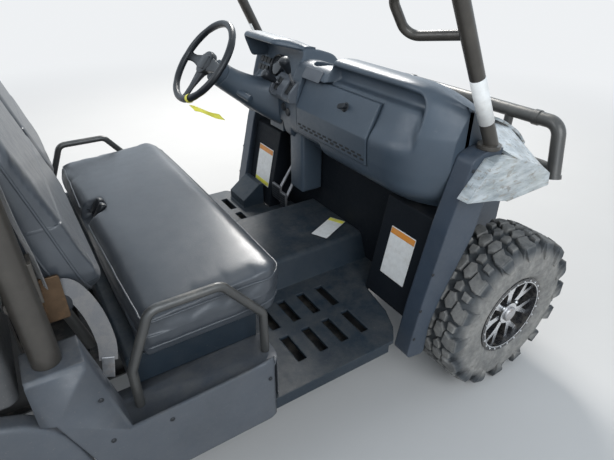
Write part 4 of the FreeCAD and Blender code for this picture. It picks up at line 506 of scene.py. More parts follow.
def bridge(bm, rings, wrap=True):
    # faces between neighbouring rings; a ring of one point closes to a tip
    for lower, upper in zip(rings, rings[1:]):
        count = max(len(lower), len(upper))
        for i in range(count if wrap else count - 1):
            j = (i + 1) % count
            corners = [lower[i % len(lower)], lower[j % len(lower)], upper[j % len(upper)], upper[i % len(upper)]]
            bm.faces.new([v for k, v in enumerate(corners) if v not in corners[:k]])


def extruded(low, high):  # a straight prism from one outline to its twin
    bm = bmesh.new()
    rings = [[bm.verts.new(p) for p in outline] for outline in (low, high)]
    bridge(bm, rings)
    bm.faces.new(rings[0][::-1])
    bm.faces.new(rings[1])
    return bm


def prism(outline, y0, y1):  # an outline of the cab's side view, drawn across from y0 to y1
    return extruded(*([cab(x, y, z) for x, z in outline] for y in (y0, y1)))


def evaluated(obj):  # the object's own mesh becomes the one with its modifiers applied
    shape = bpy.data.meshes.new_from_object(obj.evaluated_get(bpy.context.evaluated_depsgraph_get()))
    obj.modifiers.clear()
    obj.data = shape


def carve(target, bm):
    cutter = placed("cutter", fromBmesh("cutter", bm))
    cut = target.modifiers.new("cut", "BOOLEAN")
    cut.object, cut.operation, cut.solver = cutter, "DIFFERENCE", "EXACT"
    evaluated(target)
    bpy.data.objects.remove(cutter)


def roundedBox(name, low, high, radius, finish, body="chassis", segments=3, turn=None):
    bm = bmesh.new()
    bmesh.ops.create_cube(bm, size=1)
    low, high = Vector(low), Vector(high)
    for v in bm.verts:
        v.co = Vector(((low[i] + high[i]) / 2 + v.co[i] * (high[i] - low[i]) for i in range(3)))
    bmesh.ops.bevel(bm, geom=list(bm.edges), offset=radius, segments=segments, profile=0.5, affect="EDGES")
    if turn is not None:
        tilt = Matrix.Rotation(math.radians(turn), 3, "Y")
        bmesh.ops.rotate(bm, verts=bm.verts, cent=(low + high) / 2, matrix=tilt)
    return addPiece(name, fromBmesh(name, bm), finish, body)


def turned(name, profile, spots, finish, body="chassis", slot=None, segments=20, sharp=40):
    # a lathe shape about each spot: profile is (radius, height) pairs, a spot is (origin, axis)
    bm = bmesh.new()
    for origin, axis in spots:
        turn = Vector(axis).normalized().to_track_quat("Z", "Y").to_matrix()
        rings = []
        for radius, height in profile:
            angles = circle(segments) if radius > 1e-6 else [0]
            around = (Vector((radius * math.cos(a), radius * math.sin(a), height)) for a in angles)
            rings.append([bm.verts.new(Vector(origin) + turn @ p) for p in around])
        bridge(bm, rings)
        for ring in (rings[0][::-1], rings[-1]):
            if len(ring) > 1:
                bm.faces.new(ring)
    return addPiece(name, fromBmesh(name, bm), finish, body, slot, sharp)


def plate(name, middle, size, depth, radius, finish, body="chassis", slot=None, right=(0, -1, 0), up=(0, 0, 1)):
    # a flat plate with rounded corners, centred on middle and facing right x up
    right, up = Vector(right).normalized(), Vector(up).normalized()
    out = right.cross(up).normalized()
    wide, tall = size[0] / 2 - radius, size[1] / 2 - radius
    steps = 4
    outline = []
    for sx, sy, first in ((1, 1, 0), (-1, 1, 90), (-1, -1, 180), (1, -1, 270)):
        for k in range(steps + 1):
            a = math.radians(first + 90 * k / steps)
            outline.append((sx * wide + radius * math.cos(a), sy * tall + radius * math.sin(a)))
    halves = (out * side * depth / 2 for side in sides)
    bm = extruded(*([Vector(middle) + right * x + up * y + half for x, y in outline] for half in halves))
    return addPiece(name, fromBmesh(name, bm), finish, body, slot, None)


def tube(name, points, radius, finish, body="chassis", cyclic=False, smooth=True, resolution=6):
    data = bpy.data.curves.new(name, "CURVE")
    data.dimensions = "3D"
    line = data.splines.new("BEZIER" if smooth else "POLY")
    if smooth:
        line.bezier_points.add(len(points) - 1)
        for spot, p in zip(line.bezier_points, points):
            spot.co = p
            spot.handle_left_type = spot.handle_right_type = "AUTO"
    else:
        line.points.add(len(points) - 1)
        for spot, p in zip(line.points, points):
            spot.co = (*p, 1)
    line.use_cyclic_u = cyclic
    data.bevel_depth, data.bevel_resolution, data.resolution_u = radius, 4, resolution
    data.use_fill_caps = True
    holder = placed(name + "Line", data)
    mesh = bpy.data.meshes.new_from_object(holder.evaluated_get(bpy.context.evaluated_depsgraph_get()))
    bpy.data.objects.remove(holder)
    mesh.name = name
    return addPiece(name, mesh, finish, body)


def smoothLine(points, steps):  # a Catmull-Rom curve through the points
    line = []
    for i in range(len(points) - 1):
        p = [np.array(points[min(max(i + k, 0), len(points) - 1)], float) for k in (-1, 0, 1, 2)]
        for k in range(steps):
            t = k / steps
            line.append(0.5 * ((2 * p[1]) + (p[2] - p[0]) * t + (2 * p[0] - 5 * p[1] + 4 * p[2] - p[3]) * t ** 2
                               + (3 * p[1] - p[0] - 3 * p[2] + p[3]) * t ** 3))
    line.append(np.array(points[-1], float))
    return line


def ease(t):  # from 0 to 1 with a soft start and end
    t = min(1.0, max(0.0, t))
    return t * t * (3 - 2 * t)


def circle(count, first=0.0):  # angles once round
    return [2 * math.pi * (k + first) / count for k in range(count)]


def skinOf(shown):
    return BVHTree.FromPolygons([tuple(shown.matrix_world @ v.co) for v in shown.data.vertices],
                                [tuple(p.vertices) for p in shown.data.polygons])


def landed(skin, starts, way, reach=1.0):  # where rays that leave the starts along way meet a skin
    hits = [skin.ray_cast(Vector(start), Vector(way), reach)[0] for start in starts]
    return [hit for hit in hits if hit is not None]


print("seats")

seatShape = {
    "voxel": 0.006, "pressure": 4.0, "frames": 20,
    "cap": 0.006, "inset": 0.010, "smoothing": 14, "firmness": 0.75,
    "backLean": 15.0,  # degrees
    "backTall": 0.48,
}


def simulateSwell(obj):
    # cloth pressure swells the closed skin, then no point may be further than the cap from where it began
    scene = bpy.context.scene
    start = np.zeros(len(obj.data.vertices) * 3)
    obj.data.vertices.foreach_get("co", start)
    cloth = obj.modifiers.new("swell", "CLOTH")
    cloth.settings.use_pressure = True
    cloth.settings.uniform_pressure_force = seatShape["pressure"]
    cloth.settings.effector_weights.gravity = 0
    cloth.settings.quality = 5
    cloth.point_cache.frame_start, cloth.point_cache.frame_end = 1, seatShape["frames"]
    for step in range(1, seatShape["frames"] + 1):
        scene.frame_set(step)
    evaluated(obj)
    scene.frame_set(1)
    end = np.zeros_like(start)
    obj.data.vertices.foreach_get("co", end)
    move = (end - start).reshape(-1, 3)
    length = np.linalg.norm(move, axis=1, keepdims=True)
    move *= np.minimum(1.0, seatShape["cap"] / np.maximum(length, 1e-9))
    obj.data.vertices.foreach_set("co", (start.reshape(-1, 3) + move).ravel())
    obj.data.update()


def cushionFrom(node, name, crown):
    # starts from the solid's own shape, drawn in a little, then crowned and swollen
    pad = placed(name, nodes[node].data.copy())
    pad.modifiers.new("weld", "WELD").merge_threshold = 0.0002
    remesh = pad.modifiers.new("remesh", "REMESH")
    remesh.mode = "VOXEL"
    remesh.voxel_size = seatShape["voxel"] * 1
    evaluated(pad)
    crown(node, pad.data.vertices)
    simulateSwell(pad)
    smooth = pad.modifiers.new("smooth", "SMOOTH")
    smooth.iterations, smooth.factor = seatShape["smoothing"], 0.5
    finer = pad.modifiers.new("finer", "SUBSURF")
    finer.levels = finer.render_levels = 1
    evaluated(pad)
    shape = pad.data
    bpy.data.objects.remove(pad)
    made = addPiece(name, shape, "seat", bodyOf[node])
    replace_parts(made, node)


def crownCushion(node, vertices):
    low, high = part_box(node)
    middle, half = (low + high) / 2, (high - low) / 2
    for v in vertices:
        x, y, z = v.co
        across, along = (y - middle.y) / half.y, (x - middle.x) / half.x
        edge = max(0.0, 1 - across ** 4) * max(0.0, 1 - along ** 4)
        if z > middle.z:
            v.co.z = z - 0.016 * (1 - edge) - 0.004
        v.co.y = y - math.copysign(seatShape["inset"], across) * abs(across)
        v.co.x = x - seatShape["inset"] * along


def crownBack(node, vertices):
    low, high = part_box(node)
    middle, half = (low + high) / 2, (high - low) / 2
    for v in vertices:
        across, up = (v.co.y - middle.y) / half.y, (v.co.z - middle.z) / half.z
        corner = max(0.0, abs(across) - 0.80) / 0.20, max(0.0, abs(up) - 0.72) / 0.28
        pull = 0.05 * max(0, min(1.0, (corner[0] ** 2 + corner[1] ** 2) ** 0.5) - 0.75)
        v.co.y = v.co.y - math.copysign(1, across) * (0.006 * abs(across) + pull * corner[1])
        v.co.z = v.co.z - math.copysign(1, up) * (0.004 + pull * corner[0])


backs = {"backrest_driver": "driverBack", "backrest_passenger": "passengerBack"}
cushionFrom("seat_cushion", "benchCushion", crownCushion)
for node, name in backs.items():
    cushionFrom(node, name, crownBack)

print("tyres")

tyreShape = {
    "pitches": 16, "segments": 96, "lugTop": 0.330,
    # across from the tyre's edge and radius, from the bead round to the crown, in metres
    "side": ((0.0185, 0.1525), (0.0175, 0.166), (0.0100, 0.178), (0.0060, 0.200), (0.0055, 0.225),
             (0.0070, 0.252), (0.0120, 0.276), (0.0230, 0.296), (0.0420, 0.307), (0.0700, 0.311)),
}
# one pitch of one side: (along, across) of each block's corners, as shares of the pitch and of the half width
lugBlocks = (
    ((-0.30, 0.46), (0.10, 0.40), (0.26, 0.66), (0.28, 0.90), (-0.20, 0.90), (-0.16, 0.68)),
    ((-0.44, 0.06), (-0.10, 0.03), (0.06, 0.20), (-0.02, 0.37), (-0.28, 0.42), (-0.48, 0.24)),
    ((0.26, 0.08), (0.46, 0.12), (0.44, 0.36), (0.22, 0.34), (0.14, 0.22)),
    ((0.36, 0.48), (0.60, 0.52), (0.62, 0.74), (0.40, 0.76)),
)



def crownRadius(across, half):
    # the carcass's radius at a distance across, from its own side table
    inset = half - abs(across)
    table = tyreShape["side"]
    for (d0, r0), (d1, r1) in zip(table[5:], table[6:]):
        if inset <= d1:
            return r0 + (r1 - r0) * max(0.0, (inset - d0)) / (d1 - d0)
    return table[-1][1]


def makeTyre(node):
    low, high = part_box(node)
    centre, half = (low + high) / 2, (high.y - low.y) / 2
    bm = bmesh.new()

    def spun(reach, across, angle):
        return bm.verts.new(centre + Vector((reach * math.sin(angle), across, reach * math.cos(angle))))

    side = [(half - inset, reach) for inset, reach in tyreShape["side"]]
    line = smoothLine(side + [(-a, r) for a, r in reversed(side)], 3)
    rings = [[spun(r, a, turn) for a, r in line] for turn in circle(tyreShape["segments"])]
    bridge(bm, rings + rings[:1])
    step = 2 * math.pi / tyreShape["pitches"]
    for hand in (1, -1):
        for k in range(tyreShape["pitches"]):
            base = (k + (0.5 if hand > 0 else 0)) * step
            for block in lugBlocks:
                addLug(bm, spun, half, [(base + hand * a * step, hand * b * half) for a, b in block])
            addHook(bm, spun, half, hand, base + hand * 0.04 * step, step)
    name = node.replace("tyre", "rubber")
    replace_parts(addPiece(name, fromBmesh(node + "Mesh", bm), "tyre", bodyOf[node], None, 32), node)


def addLug(bm, spun, half, corners):
    # a block on the crown, its sides drawn in towards the top
    middle = [sum(values) / len(corners) for values in zip(*corners)]
    rings = []
    for share, rise in ((1.06, -0.010), (1.0, 0.6), (0.94, 0.92), (0.84, 1.0)):
        ring = []
        for corner in corners:
            a, b = (m + (c - m) * share for c, m in zip(corner, middle))
            floor = crownRadius(b, half)
            fall = 0.010 * max(0.0, abs(b) / half - 0.6) / 0.4
            reach = floor + rise if rise < 0 else floor + (tyreShape["lugTop"] - fall - floor) * rise
            ring.append(spun(reach, b, a))
        rings.append(ring)
    bridge(bm, rings)
    bm.faces.new(rings[-1])


def addHook(bm, spun, half, hand, angle, step):
    # the shoulder lug's end, which runs down the side wall and curls
    rows = ((0.322, 0.0100, 0.24, 0.00), (0.305, 0.0035, 0.235, 0.01), (0.285, 0.0010, 0.20, 0.04),
            (0.266, 0.0005, 0.15, 0.09), (0.252, 0.0030, 0.10, 0.15))
    rings = [[spun(reach, hand * (half - inset - sunk), angle + (sign * wide + lean) * step)
              for sign, sunk in ((-1, 0.016), (-0.86, 0.0), (0.86, 0.0), (1, 0.016))]
             for reach, inset, wide, lean in rows]
    bridge(bm, rings, False)
    bm.faces.new(rings[0])
    bm.faces.new(rings[-1][::-1])


for end, hand, side in wheels:
    makeTyre(f"{end}_tyre_{hand}")

print("dashboard shell")

# outlines of the shell's section in millimetres, from the cowl over the rim and down the face
dashLines = {
    "recess": ((830, 1110), (800, 1165), (740, 1196), (680, 1210), (645, 1212), (622, 1206), (616, 1192),
               (632, 1182), (650, 1168), (648, 1138), (620, 1124), (590, 1064), (557, 1012), (557, 960),
               (561, 918), (578, 862), (640, 815)),
    "cheek": ((830, 1110), (800, 1165), (740, 1194), (690, 1206), (650, 1208), (620, 1196), (600, 1176),
              (588, 1150), (578, 1120), (570, 1090), (562, 1060), (557, 1030), (555, 1000), (556, 960),
              (562, 915), (580, 860), (640, 815)),
    "valley": ((830, 1100), (800, 1124), (740, 1150), (700, 1164), (660, 1172), (640, 1172), (618, 1166),
               (600, 1152), (586, 1130), (575, 1106), (566, 1080), (560, 1054), (555, 1020), (554, 985),
               (558, 925), (580, 880), (640, 860)),
    "driver": ((830, 1110), (800, 1165), (740, 1192), (690, 1204), (655, 1208), (642, 1205), (638, 1196),
               (641, 1180), (640, 1160), (630, 1130), (614, 1096), (590, 1062), (561, 1030), (556, 960),
               (562, 915), (580, 860), (640, 815)),
}
dashBack = ((660, 813), (700, 812), (700, 860), (700, 908), (742, 912), (786, 980), (826, 1060))
# along the width: where each outline holds, and where it turns into the next
dashPlan = ((-633, "cheek"), (-552, "cheek"), (-506, "recess"), (-76, "recess"), (-52, "valley"), (148, "valley"),
            (176, "driver"), (498, "driver"), (530, "cheek"), (633, "cheek"))
dashCuts = (  # outlines of what is cut away, each with where it starts and ends across
    (((500, 876), (565.3, 876), (565.3, 922), (567, 1009), (624, 1128), (500, 1128)), -365, 92),
    (((520, 934), (690, 934), (690, 1100), (520, 1100)), -341, 68),
    (((500, 812), (705, 812), (705, 935), (500, 1108)), 274, 410),
    (((500, 802), (760, 802), (760, 935), (500, 910)), 215, 573),
)
dashEnd, dashStep = 633, 14  # half the shell's width and the step between sections, in millimetres
dashFine = ((-556, -500, 6), (-80, -44, 4), (144, 180, 4), (496, 534, 4))  # finer steps where the outline changes


def sectionAt(plan, rings, y):
    # the section at y, eased from one outline to the next
    (y0, first), (y1, second) = next((a, b) for a, b in zip(plan, plan[1:]) if y <= b[0])
    t = ease((y - y0) / (y1 - y0))
    return rings[first] * (1 - t) + rings[second] * t


def makeDash():
    outlines = {name: np.array([tuple(p) for p in smoothLine(line, 5)] + list(dashBack), float)
                for name, line in dashLines.items()}
    places = set(range(-dashEnd, dashEnd + 1, dashStep)) | {-dashEnd, dashEnd}
    rings = []
    for y in sorted(places.union(*(range(*fine) for fine in dashFine))):
        out = max(0.0, abs(y) - 430) / 203  # how far into the cheek, which sweeps forward and falls
        ring = []
        for x, z in sectionAt(dashPlan, outlines, y):
            front = min(1.0, max(0.0, (720 - x) / 100))
            drop = 62 * out ** 2 * max(0.0, (z - 1060) / 150)
            ring.append(cab(x + 118 * out ** 2.2 * front, y, z - drop))
        rings.append(ring)
    shell = loft("dashShell", rings, "dash")
    for outline, y0, y1 in dashCuts:
        carve(shell, prism(outline, y0, y1))
    cup = bmesh.new()
    bmesh.ops.create_cone(cup, cap_ends=True, segments=40, radius1=0.040, radius2=0.044, depth=0.12)
    bmesh.ops.translate(cup, verts=cup.verts, vec=cab(662, 50, 1165))
    carve(shell, cup)
    soften(shell.data, 38)
    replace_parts(shell, "dashboard")


podLines = {  # the hood over the gauges: its curl at the centre, its canopy and its end wall
    "curl": ((700, 1209), (680, 1214), (664, 1216), (652, 1216), (646, 1213), (642, 1209), (640, 1206),
             (641, 1203), (644, 1200), (648, 1198), (652, 1196), (656, 1194), (660, 1192), (668, 1190),
             (680, 1190), (700, 1190)),
    "canopy": ((700, 1209), (660, 1228), (620, 1240), (580, 1246), (552, 1246), (538, 1240), (533, 1230),
               (540, 1224), (560, 1222), (590, 1218), (620, 1212), (640, 1204), (650, 1196), (660, 1190),
               (680, 1190), (700, 1190)),
    "wall": ((700, 1209), (660, 1228), (620, 1240), (580, 1246), (552, 1246), (538, 1240), (533, 1230),
             (536, 1215), (542, 1200), (550, 1180), (558, 1160), (570, 1144), (600, 1141), (640, 1141),
             (680, 1141), (700, 1190)),
}
podPlan = ((176, "curl"), (250, "canopy"), (484, "canopy"), (490, "wall"), (505, "wall"))


def makePod():
    outlines = {name: np.array([tuple(p) for p in smoothLine(line, 4)]) for name, line in podLines.items()}
    rings = []
    for y in sorted(set(range(176, 490, 6)) | {484, 487, 490, 496, 501, 505}):
        squeeze = 1 - 0.10 * max(0.0, (y - 490) / 15) ** 2
        rings.append([cab(620 + (x - 620) * squeeze, y, 1195 + (z - 1195) * squeeze)
                      for x, z in sectionAt(podPlan, outlines, y)])
    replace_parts(loft("podHood", rings, "dash", "chassis", 38), "instrument_pod")


wheelHub = Vector((274, 342, 1171))  # millimetres from the cab's datum
wheelLean = 49.6  # degrees
wheelTilt = math.radians(wheelLean)
wheelAhead = Vector((math.cos(wheelTilt), 0, math.sin(wheelTilt)))
wheelAxis = Vector((-math.sin(wheelTilt), 0, math.cos(wheelTilt)))
rimRadius = 170


def makeCowl():
    # the moulding that carries the column from the dashboard's face towards the wheel
    face = Vector((574, 318, 985))
    rings = []
    for i in range(15):
        t = i / 14
        soft = ease(t)
        middle = face.lerp(wheelHub - wheelAxis * (300 - 205 * t), soft)
        wide, tall, power = (first + (last - first) * soft for first, last in ((84, 50), (104, 50), (4.5, 2.0)))
        up = Vector((0, 0, 1)).lerp(wheelAhead, soft)
        ring = []
        for a in circle(36):
            across, above = (math.copysign(abs(v) ** (2 / power), v) for v in (math.cos(a), math.sin(a)))
            ring.append(cab(*(middle + Vector((0, across * wide, 0)) + up * (above * tall))))
        rings.append(ring)
    loft("columnCowl", rings, "dash", "chassis", 50)


makeDash()
makePod()
makeCowl()
roundedBox("centreStack", cab(592, 107, 602), cab(699, 213, 880), 0.012, "dash")

print("controls")


def wheelPoint(radius, angle, height):
    # on the steering wheel: angle from straight ahead, height along the wheel's own axis
    across, ahead = radius * math.sin(angle), radius * math.cos(angle)
    return cab(*(wheelHub + Vector((0, across, 0)) + wheelAhead * ahead + wheelAxis * height))


def makeSteeringWheel():
    body = bodyOf["steering_wheel"]
    bm = bmesh.new()

    def ringOf(places):
        return [bm.verts.new(wheelPoint(*place)) for place in places]

    rim = []
    for a in circle(72):
        grip = 14.2 - 1.1 * (0.5 + 0.5 * math.cos(8 * a)) ** 6  # thinner at eight finger grips
        rim.append(ringOf((rimRadius + grip * math.cos(b), a, grip * math.sin(b)) for b in circle(14)))
    bridge(bm, rim + rim[:1])
    # hub pad and three spokes that widen into it
    hub = [ringOf((radius, a, height) for a in circle(32))
           for radius, height in ((40, -33), (50, -28), (52, -14), (48, -4), (36, 0))]
    lofts = [hub]
    for base in (math.pi / 2, math.pi, math.pi * 3 / 2):
        rows = []
        for radius, wide, top, low in ((40, 30, -6, -26), (70, 23, -7, -22), (110, 17, -8, -18),
                                       (145, 17, -7, -16), (164, 21, -5, -13)):
            section = ((-1, low), (-1, top - 4), (-0.7, top), (0.7, top), (1, top - 4), (1, low))
            rows.append(ringOf((math.hypot(radius, side * wide), base + math.atan2(side * wide, radius), height)
                               for side, height in section))
        lofts.append(rows)
    for rings in lofts:
        bridge(bm, rings)
        bm.faces.new(rings[0])
        bm.faces.new(rings[-1])
    made = addPiece("steeringGrip", fromBmesh("steeringGrip", bm), "trim", body, None, 40)
    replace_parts(made, "steering_wheel")
    half = 29
    low, high = cab(*(wheelHub - Vector((half, half, 4)))), cab(*(wheelHub + Vector((half, half, 3))))
    roundedBox("hubPad", low, high, 0.003, "trim", body, turn=-wheelLean)


def makeConsole():
    # the lever block on the centre stack, with two gates and two knobs
    profile = ((600, 1099), (586, 1110), (560, 1092), (530, 1062), (520, 1040), (528, 1022), (560, 1017))
    pocket = ((504, 1056), (522, 1028), (568, 1078), (572, 1100), (552, 1118))
    block = addPiece("leverBlock", fromBmesh("leverBlock", prism(profile, 98, 262)), "console", sharp=None)
    slope = (-0.66, 0, -0.75)
    for y in (134, 226):
        carve(block, prism(pocket, y - 23, y + 23))
        plate(f"gate{y}", cab(553, y, 1071), (0.040, 0.054), 0.003, 0.005, "dark", up=slope)
        plate(f"gateBar{y}", cab(546, y - 8, 1068), (0.005, 0.044), 0.004, 0.001, "trim", up=slope)
    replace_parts(block, "gear_levers")
    for name, foot, knob in (("gear", cab(566, 226, 1060), cab(506, 236, 1108)),
                             ("lock", cab(574, 134, 1072), cab(524, 122, 1172))):
        axis = (knob - foot).normalized()
        tube(name + "Rod", [foot, knob], 0.006, "steel", smooth=False)
        turned(name + "Knob", ((0.010, -0.040), (0.013, -0.030), (0.017, -0.010), (0.022, 0.008), (0.0225, 0.016),
                               (0.018, 0.023), (0.008, 0.026), (0, 0.0265)), [(knob, axis)], "trim", segments=24)
        turned(name + "Boot", ((0.018, 0.004), (0.013, 0.012), (0.014, 0.016), (0.009, 0.022), (0.006, 0.026)),
               [(foot, axis)], "trim")


def makeGauges():
    # a round gauge on the face below the pod's hood, with rocker switches beside it and the key below
    gauge = [(cab(611, 344, 1118), (-0.90, 0, 0.43))]
    bezel = ((0.047, -0.012), (0.048, 0.004), (0.045, 0.009), (0.041, 0.006), (0.040, 0.000))
    for name, profile, finish in (("gaugeRing", bezel, "trim"),
                                  ("gaugeGlass", ((0.0405, 0.001), (0.024, 0.003), (0, 0.0035)), "dial"),
                                  ("gaugeDial", ((0.040, -0.001), (0, -0.0005)), "dark")):
        turned(name, profile, gauge, finish, segments=40)
    for row in (0, 1):
        for column in range(3):
            spot = cab(613 - row * 15, 412 + column * 30, 1126 - row * 32)
            plate(f"rocker{row}{column}", spot, (0.024, 0.024), 0.014, 0.004, "dark", up=(0.43, 0, 0.90))
    turned("socketCap", ((0.017, -0.004), (0.018, 0.003), (0.015, 0.006), (0.010, 0.004), (0, 0.004)),
           [(cab(556, 160, 968), (-1, 0, 0.05)), (cab(557, 196, 982), (-1, 0, 0.05))], "trim", segments=24)


makeSteeringWheel()
makeConsole()
makeGauges()

print("labels, belts and small parts")


def label(name, middle, size, bands, right, up):
    # a bare sticker; a band is (share from the foot, share of the height, finish)
    right, up = Vector(right).normalized(), Vector(up).normalized()
    plate(name, middle, size, 0.0010, 0.003, "white", right=right, up=up)
    for i, (foot, tall, finish) in enumerate(bands):
        spot = middle + up * size[1] * (foot + tall / 2 - 0.5) + right.cross(up) * 0.0005
        plate(f"{name}Band{i}", spot, (size[0] * 0.97, size[1] * tall), 0.0010, 0.002, finish, right=right, up=up)


def sleeve(name, start, end, radius, facing, spread, thick=0.0008):
    # a label wrapped part of the way round a tube, on the side that faces a direction
    axis = (end - start).normalized()
    ahead = (facing - axis * facing.dot(axis)).normalized()
    around = axis.cross(ahead)
    steps = 24
    rings = []
    for place in (start, end):
        arcs = [[place + (ahead * math.cos(a) + around * math.sin(a)) * reach
                 for a in (math.radians(spread) * (k / steps - 0.5) for k in range(steps + 1))]
                for reach in (radius - 0.002, radius + thick)]
        rings.append(arcs[0] + arcs[1][::-1])
    # each end is closed by an arc of quads
    bm = bmesh.new()
    near, far = ([bm.verts.new(p) for p in ring] for ring in rings)
    bridge(bm, (near, far))
    for ring in (near, far):
        for k in range(steps):
            bm.faces.new((ring[k], ring[k + 1], ring[-2 - k], ring[-1 - k]))
    addPiece(name, fromBmesh(name, bm), "white")


def ribbon(name, points, width, thick, finish, body="chassis", widthway=None, facing=None, steps=8):
    # a strap along a smooth line, its width laid along widthway, or its flat side turned to facing
    line = [Vector(p) for p in smoothLine(points, steps)]
    rings = []
    for i, p in enumerate(line):
        along = (line[min(i + 1, len(line) - 1)] - line[max(i - 1, 0)]).normalized()
        across = Vector(widthway if facing is None else along.cross(Vector(facing))).normalized() * width / 2
        up = along.cross(across).normalized() * thick / 2
        rings.append([p - across - up, p + across - up, p + across + up, p - across + up])
    loft(name, rings, finish, body, 40)


def makeLabels():
    slope = math.atan2(79, 380)  # the wheel wells lean forwards by 79 mm over 380 mm
    wellUp = (math.sin(slope), 0, math.cos(slope))
    label("wellLabelRight", cab(609.6, -512, 602.3), (0.124, 0.190), ((0.86, 0.12, "orange"),), (0, -1, 0),
          wellUp)
    label("wellLabelLeft", cab(607.9, 504, 594), (0.140, 0.196), ((0.86, 0.12, "orange"), (0.02, 0.10, "yellow")),
          (0, -1, 0), wellUp)
    label("tunnelLabel", cab(598, -96, 521), (0.074, 0.166), ((0.84, 0.14, "yellow"),), (0.44, -0.9, 0),
          (0.9, 0.44, 0))
    for side in sides:
        sleeve(f"postLabel{side}", cab(738.8, side * 679.5, 1124), cab(668.6, side * 675.1, 1258), 0.0222,
               Vector((-0.8, side * 0.8, 0.3)), 190)


def makeTag():
    # a blank tag looped about the steering wheel's rim
    a = math.radians(205)
    loop = [wheelPoint(rimRadius + 16.5 * math.cos(b), a, 16.5 * math.sin(b)) for b in circle(10) + [2 * math.pi]]
    along = wheelPoint(rimRadius, a + 0.05, 0) - wheelPoint(rimRadius, a - 0.05, 0)
    body = bodyOf["steering_wheel"]
    ribbon("tagLoop", loop, 0.014, 0.0012, "yellow", body, along, steps=3)
    flag = [cab(178, 262, 1018), cab(196, 250, 1014), cab(222, 240, 1000), cab(250, 231, 985), cab(284, 222, 974)]
    ribbon("tagFlag", flag, 0.036, 0.0010, "yellow", body, (0.35, -0.75, -0.55), steps=5)


def makeWelt(node, cushion, name, rays, radius, lift=0.0):
    # a piped seam laid on the cushion's skin, where each ray comes in from outside
    skin = skinOf(bpy.data.objects[cushion])
    points = [hit + way * lift for start, way in rays for hit in landed(skin, [start], -way, 3)]
    tube(name, points, radius, "seat", bodyOf[node], True, True, 2)


def makeCushionWelts():
    # one round the bench near its top and one near its foot, at a height that falls to the rear
    low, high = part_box("seat_cushion")
    middle = (low + high) / 2
    for name, front, rear in (("upperWelt", high.z - 0.036, high.z - 0.066),
                              ("lowerWelt", low.z + 0.040, low.z + 0.030)):
        rays = []
        for a in circle(120):
            way = Vector((math.cos(a) * 0.42, math.sin(a), 0)).normalized()
            z = rear + (front - rear) * (middle.x + way.x * 0.2 - low.x) / (high.x - low.x)
            rays.append((Vector((middle.x, middle.y, z)) + way * 2, way))
        makeWelt("seat_cushion", "benchCushion", name, rays, 0.0035, 0.00035)


def makeBackWelts(node, name):
    # one near the front face and one near the rear, in planes along the backrest's lean
    low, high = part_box(node)
    lean = math.radians(seatShape["backLean"])
    up, out = Vector((-math.sin(lean), 0, math.cos(lean))), Vector((math.cos(lean), 0, math.sin(lean)))
    thick = ((high.x - low.x) - seatShape["backTall"] * math.sin(lean)) / math.cos(lean)
    for place, share in (("Front", 0.52), ("Rear", -0.50)):
        start = (low + high) / 2 + out * thick * share / 2
        ways = [(Vector((0, math.cos(a), 0)) + up * math.sin(a)).normalized() for a in circle(96)]
        makeWelt(node, name, f"{name}{place}Welt", [(start + way * 0.9, way) for way in ways], 0.0032)


beltLines = (  # on the driver's side: the web by the seat's end, its tongue and the web up to the post
    ((-452, 596, 948), (-432, 600, 938), (-412, 602, 896), (-398, 603, 838), (-392, 604, 770), (-398, 604, 716)),
    ((-398, 605, 726), (-402, 606, 700), (-408, 608, 668)),
    ((-478, 600, 968), (-482, 598, 1040), (-492, 600, 1130), (-498, 602, 1230)),
)


def makeBelts():
    for tag, side in (("Right", -1), ("Left", 1)):
        plate("retractor" + tag, cab(-476, side * 604, 930), (0.062, 0.110), 0.006, 0.006, "rust",
              right=(1, 0, 0))
        turned("reel" + tag, ((0.030, -0.021), (0.031, 0.018), (0.026, 0.022), (0, 0.022)),
               [(cab(-462, side * 580, 908), (0, side, 0))], "trim", segments=28)
        outwards = (-0.25, side, 0.35)
        web, tongue, upper = ([cab(x, side * y, z) for x, y, z in line] for line in beltLines)
        ribbon("beltWeb" + tag, web, 0.042, 0.0016, "belt", facing=outwards)
        ribbon("beltTongue" + tag, tongue, 0.028, 0.0035, "steel", facing=outwards)
        ribbon("upperBelt" + tag, upper, 0.047, 0.0016, "belt", widthway=(0.3, side * 0.95, 0))
    for y in (62, 108):
        roundedBox(f"buckle{y}", cab(-274, y - 15, 744), cab(-250, y + 15, 806), 0.007, "trim", segments=2,
                   turn=34)


def makeTray():
    # the side mouldings with their front corners rounded off
    mesh = nodes["side_panels"].data.copy()
    mesh.transform(nodes["side_panels"].matrix_world)
    tray = addPiece("sideTrays", mesh, "side", sharp=None)
    low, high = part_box("side_panels")
    r, spare = 0.058, 0.01
    for side in sides:
        x, y = high.x, side * high.y
        arc = [(x - r + r * math.sin(a), y - side * (r - r * math.cos(a)))
               for a in (math.radians(9 * k) for k in range(11))]
        outside = [(x - r, y + side * spare), (x + spare, y + side * spare), (x + spare, y - side * r)]
        outline = outside + arc[::-1]
        carve(tray, extruded(*([(px, py, z) for px, py in outline] for z in (low.z - 0.02, high.z + 0.02))))
    soften(tray.data, 30)
    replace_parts(tray, "side_panels")


def makeFlanges():
    # the rear fenders' front flanges, which lap over the side mouldings
    outline = ((-660, 742), (-628, 732), (-590, 714), (-560, 689), (-540, 664), (-526, 637), (-508, 585),
               (-494, 528), (-492, 474), (-660, 474))
    inner, outer = 664, 706
    for name, side in (("rearFlangeRight", -1), ("rearFlangeLeft", 1)):
        bm = prism(outline, side * inner, side * outer)
        bmesh.ops.recalc_face_normals(bm, faces=bm.faces)
        rim = [e for e in bm.edges if all(abs(abs(v.co.y) - outer / 1000) < 1e-6 for v in e.verts)]
        bmesh.ops.bevel(bm, geom=rim, offset=0.012, segments=4, profile=0.5, affect="EDGES")
        addPiece(name, fromBmesh(name, bm), "side", sharp=32)


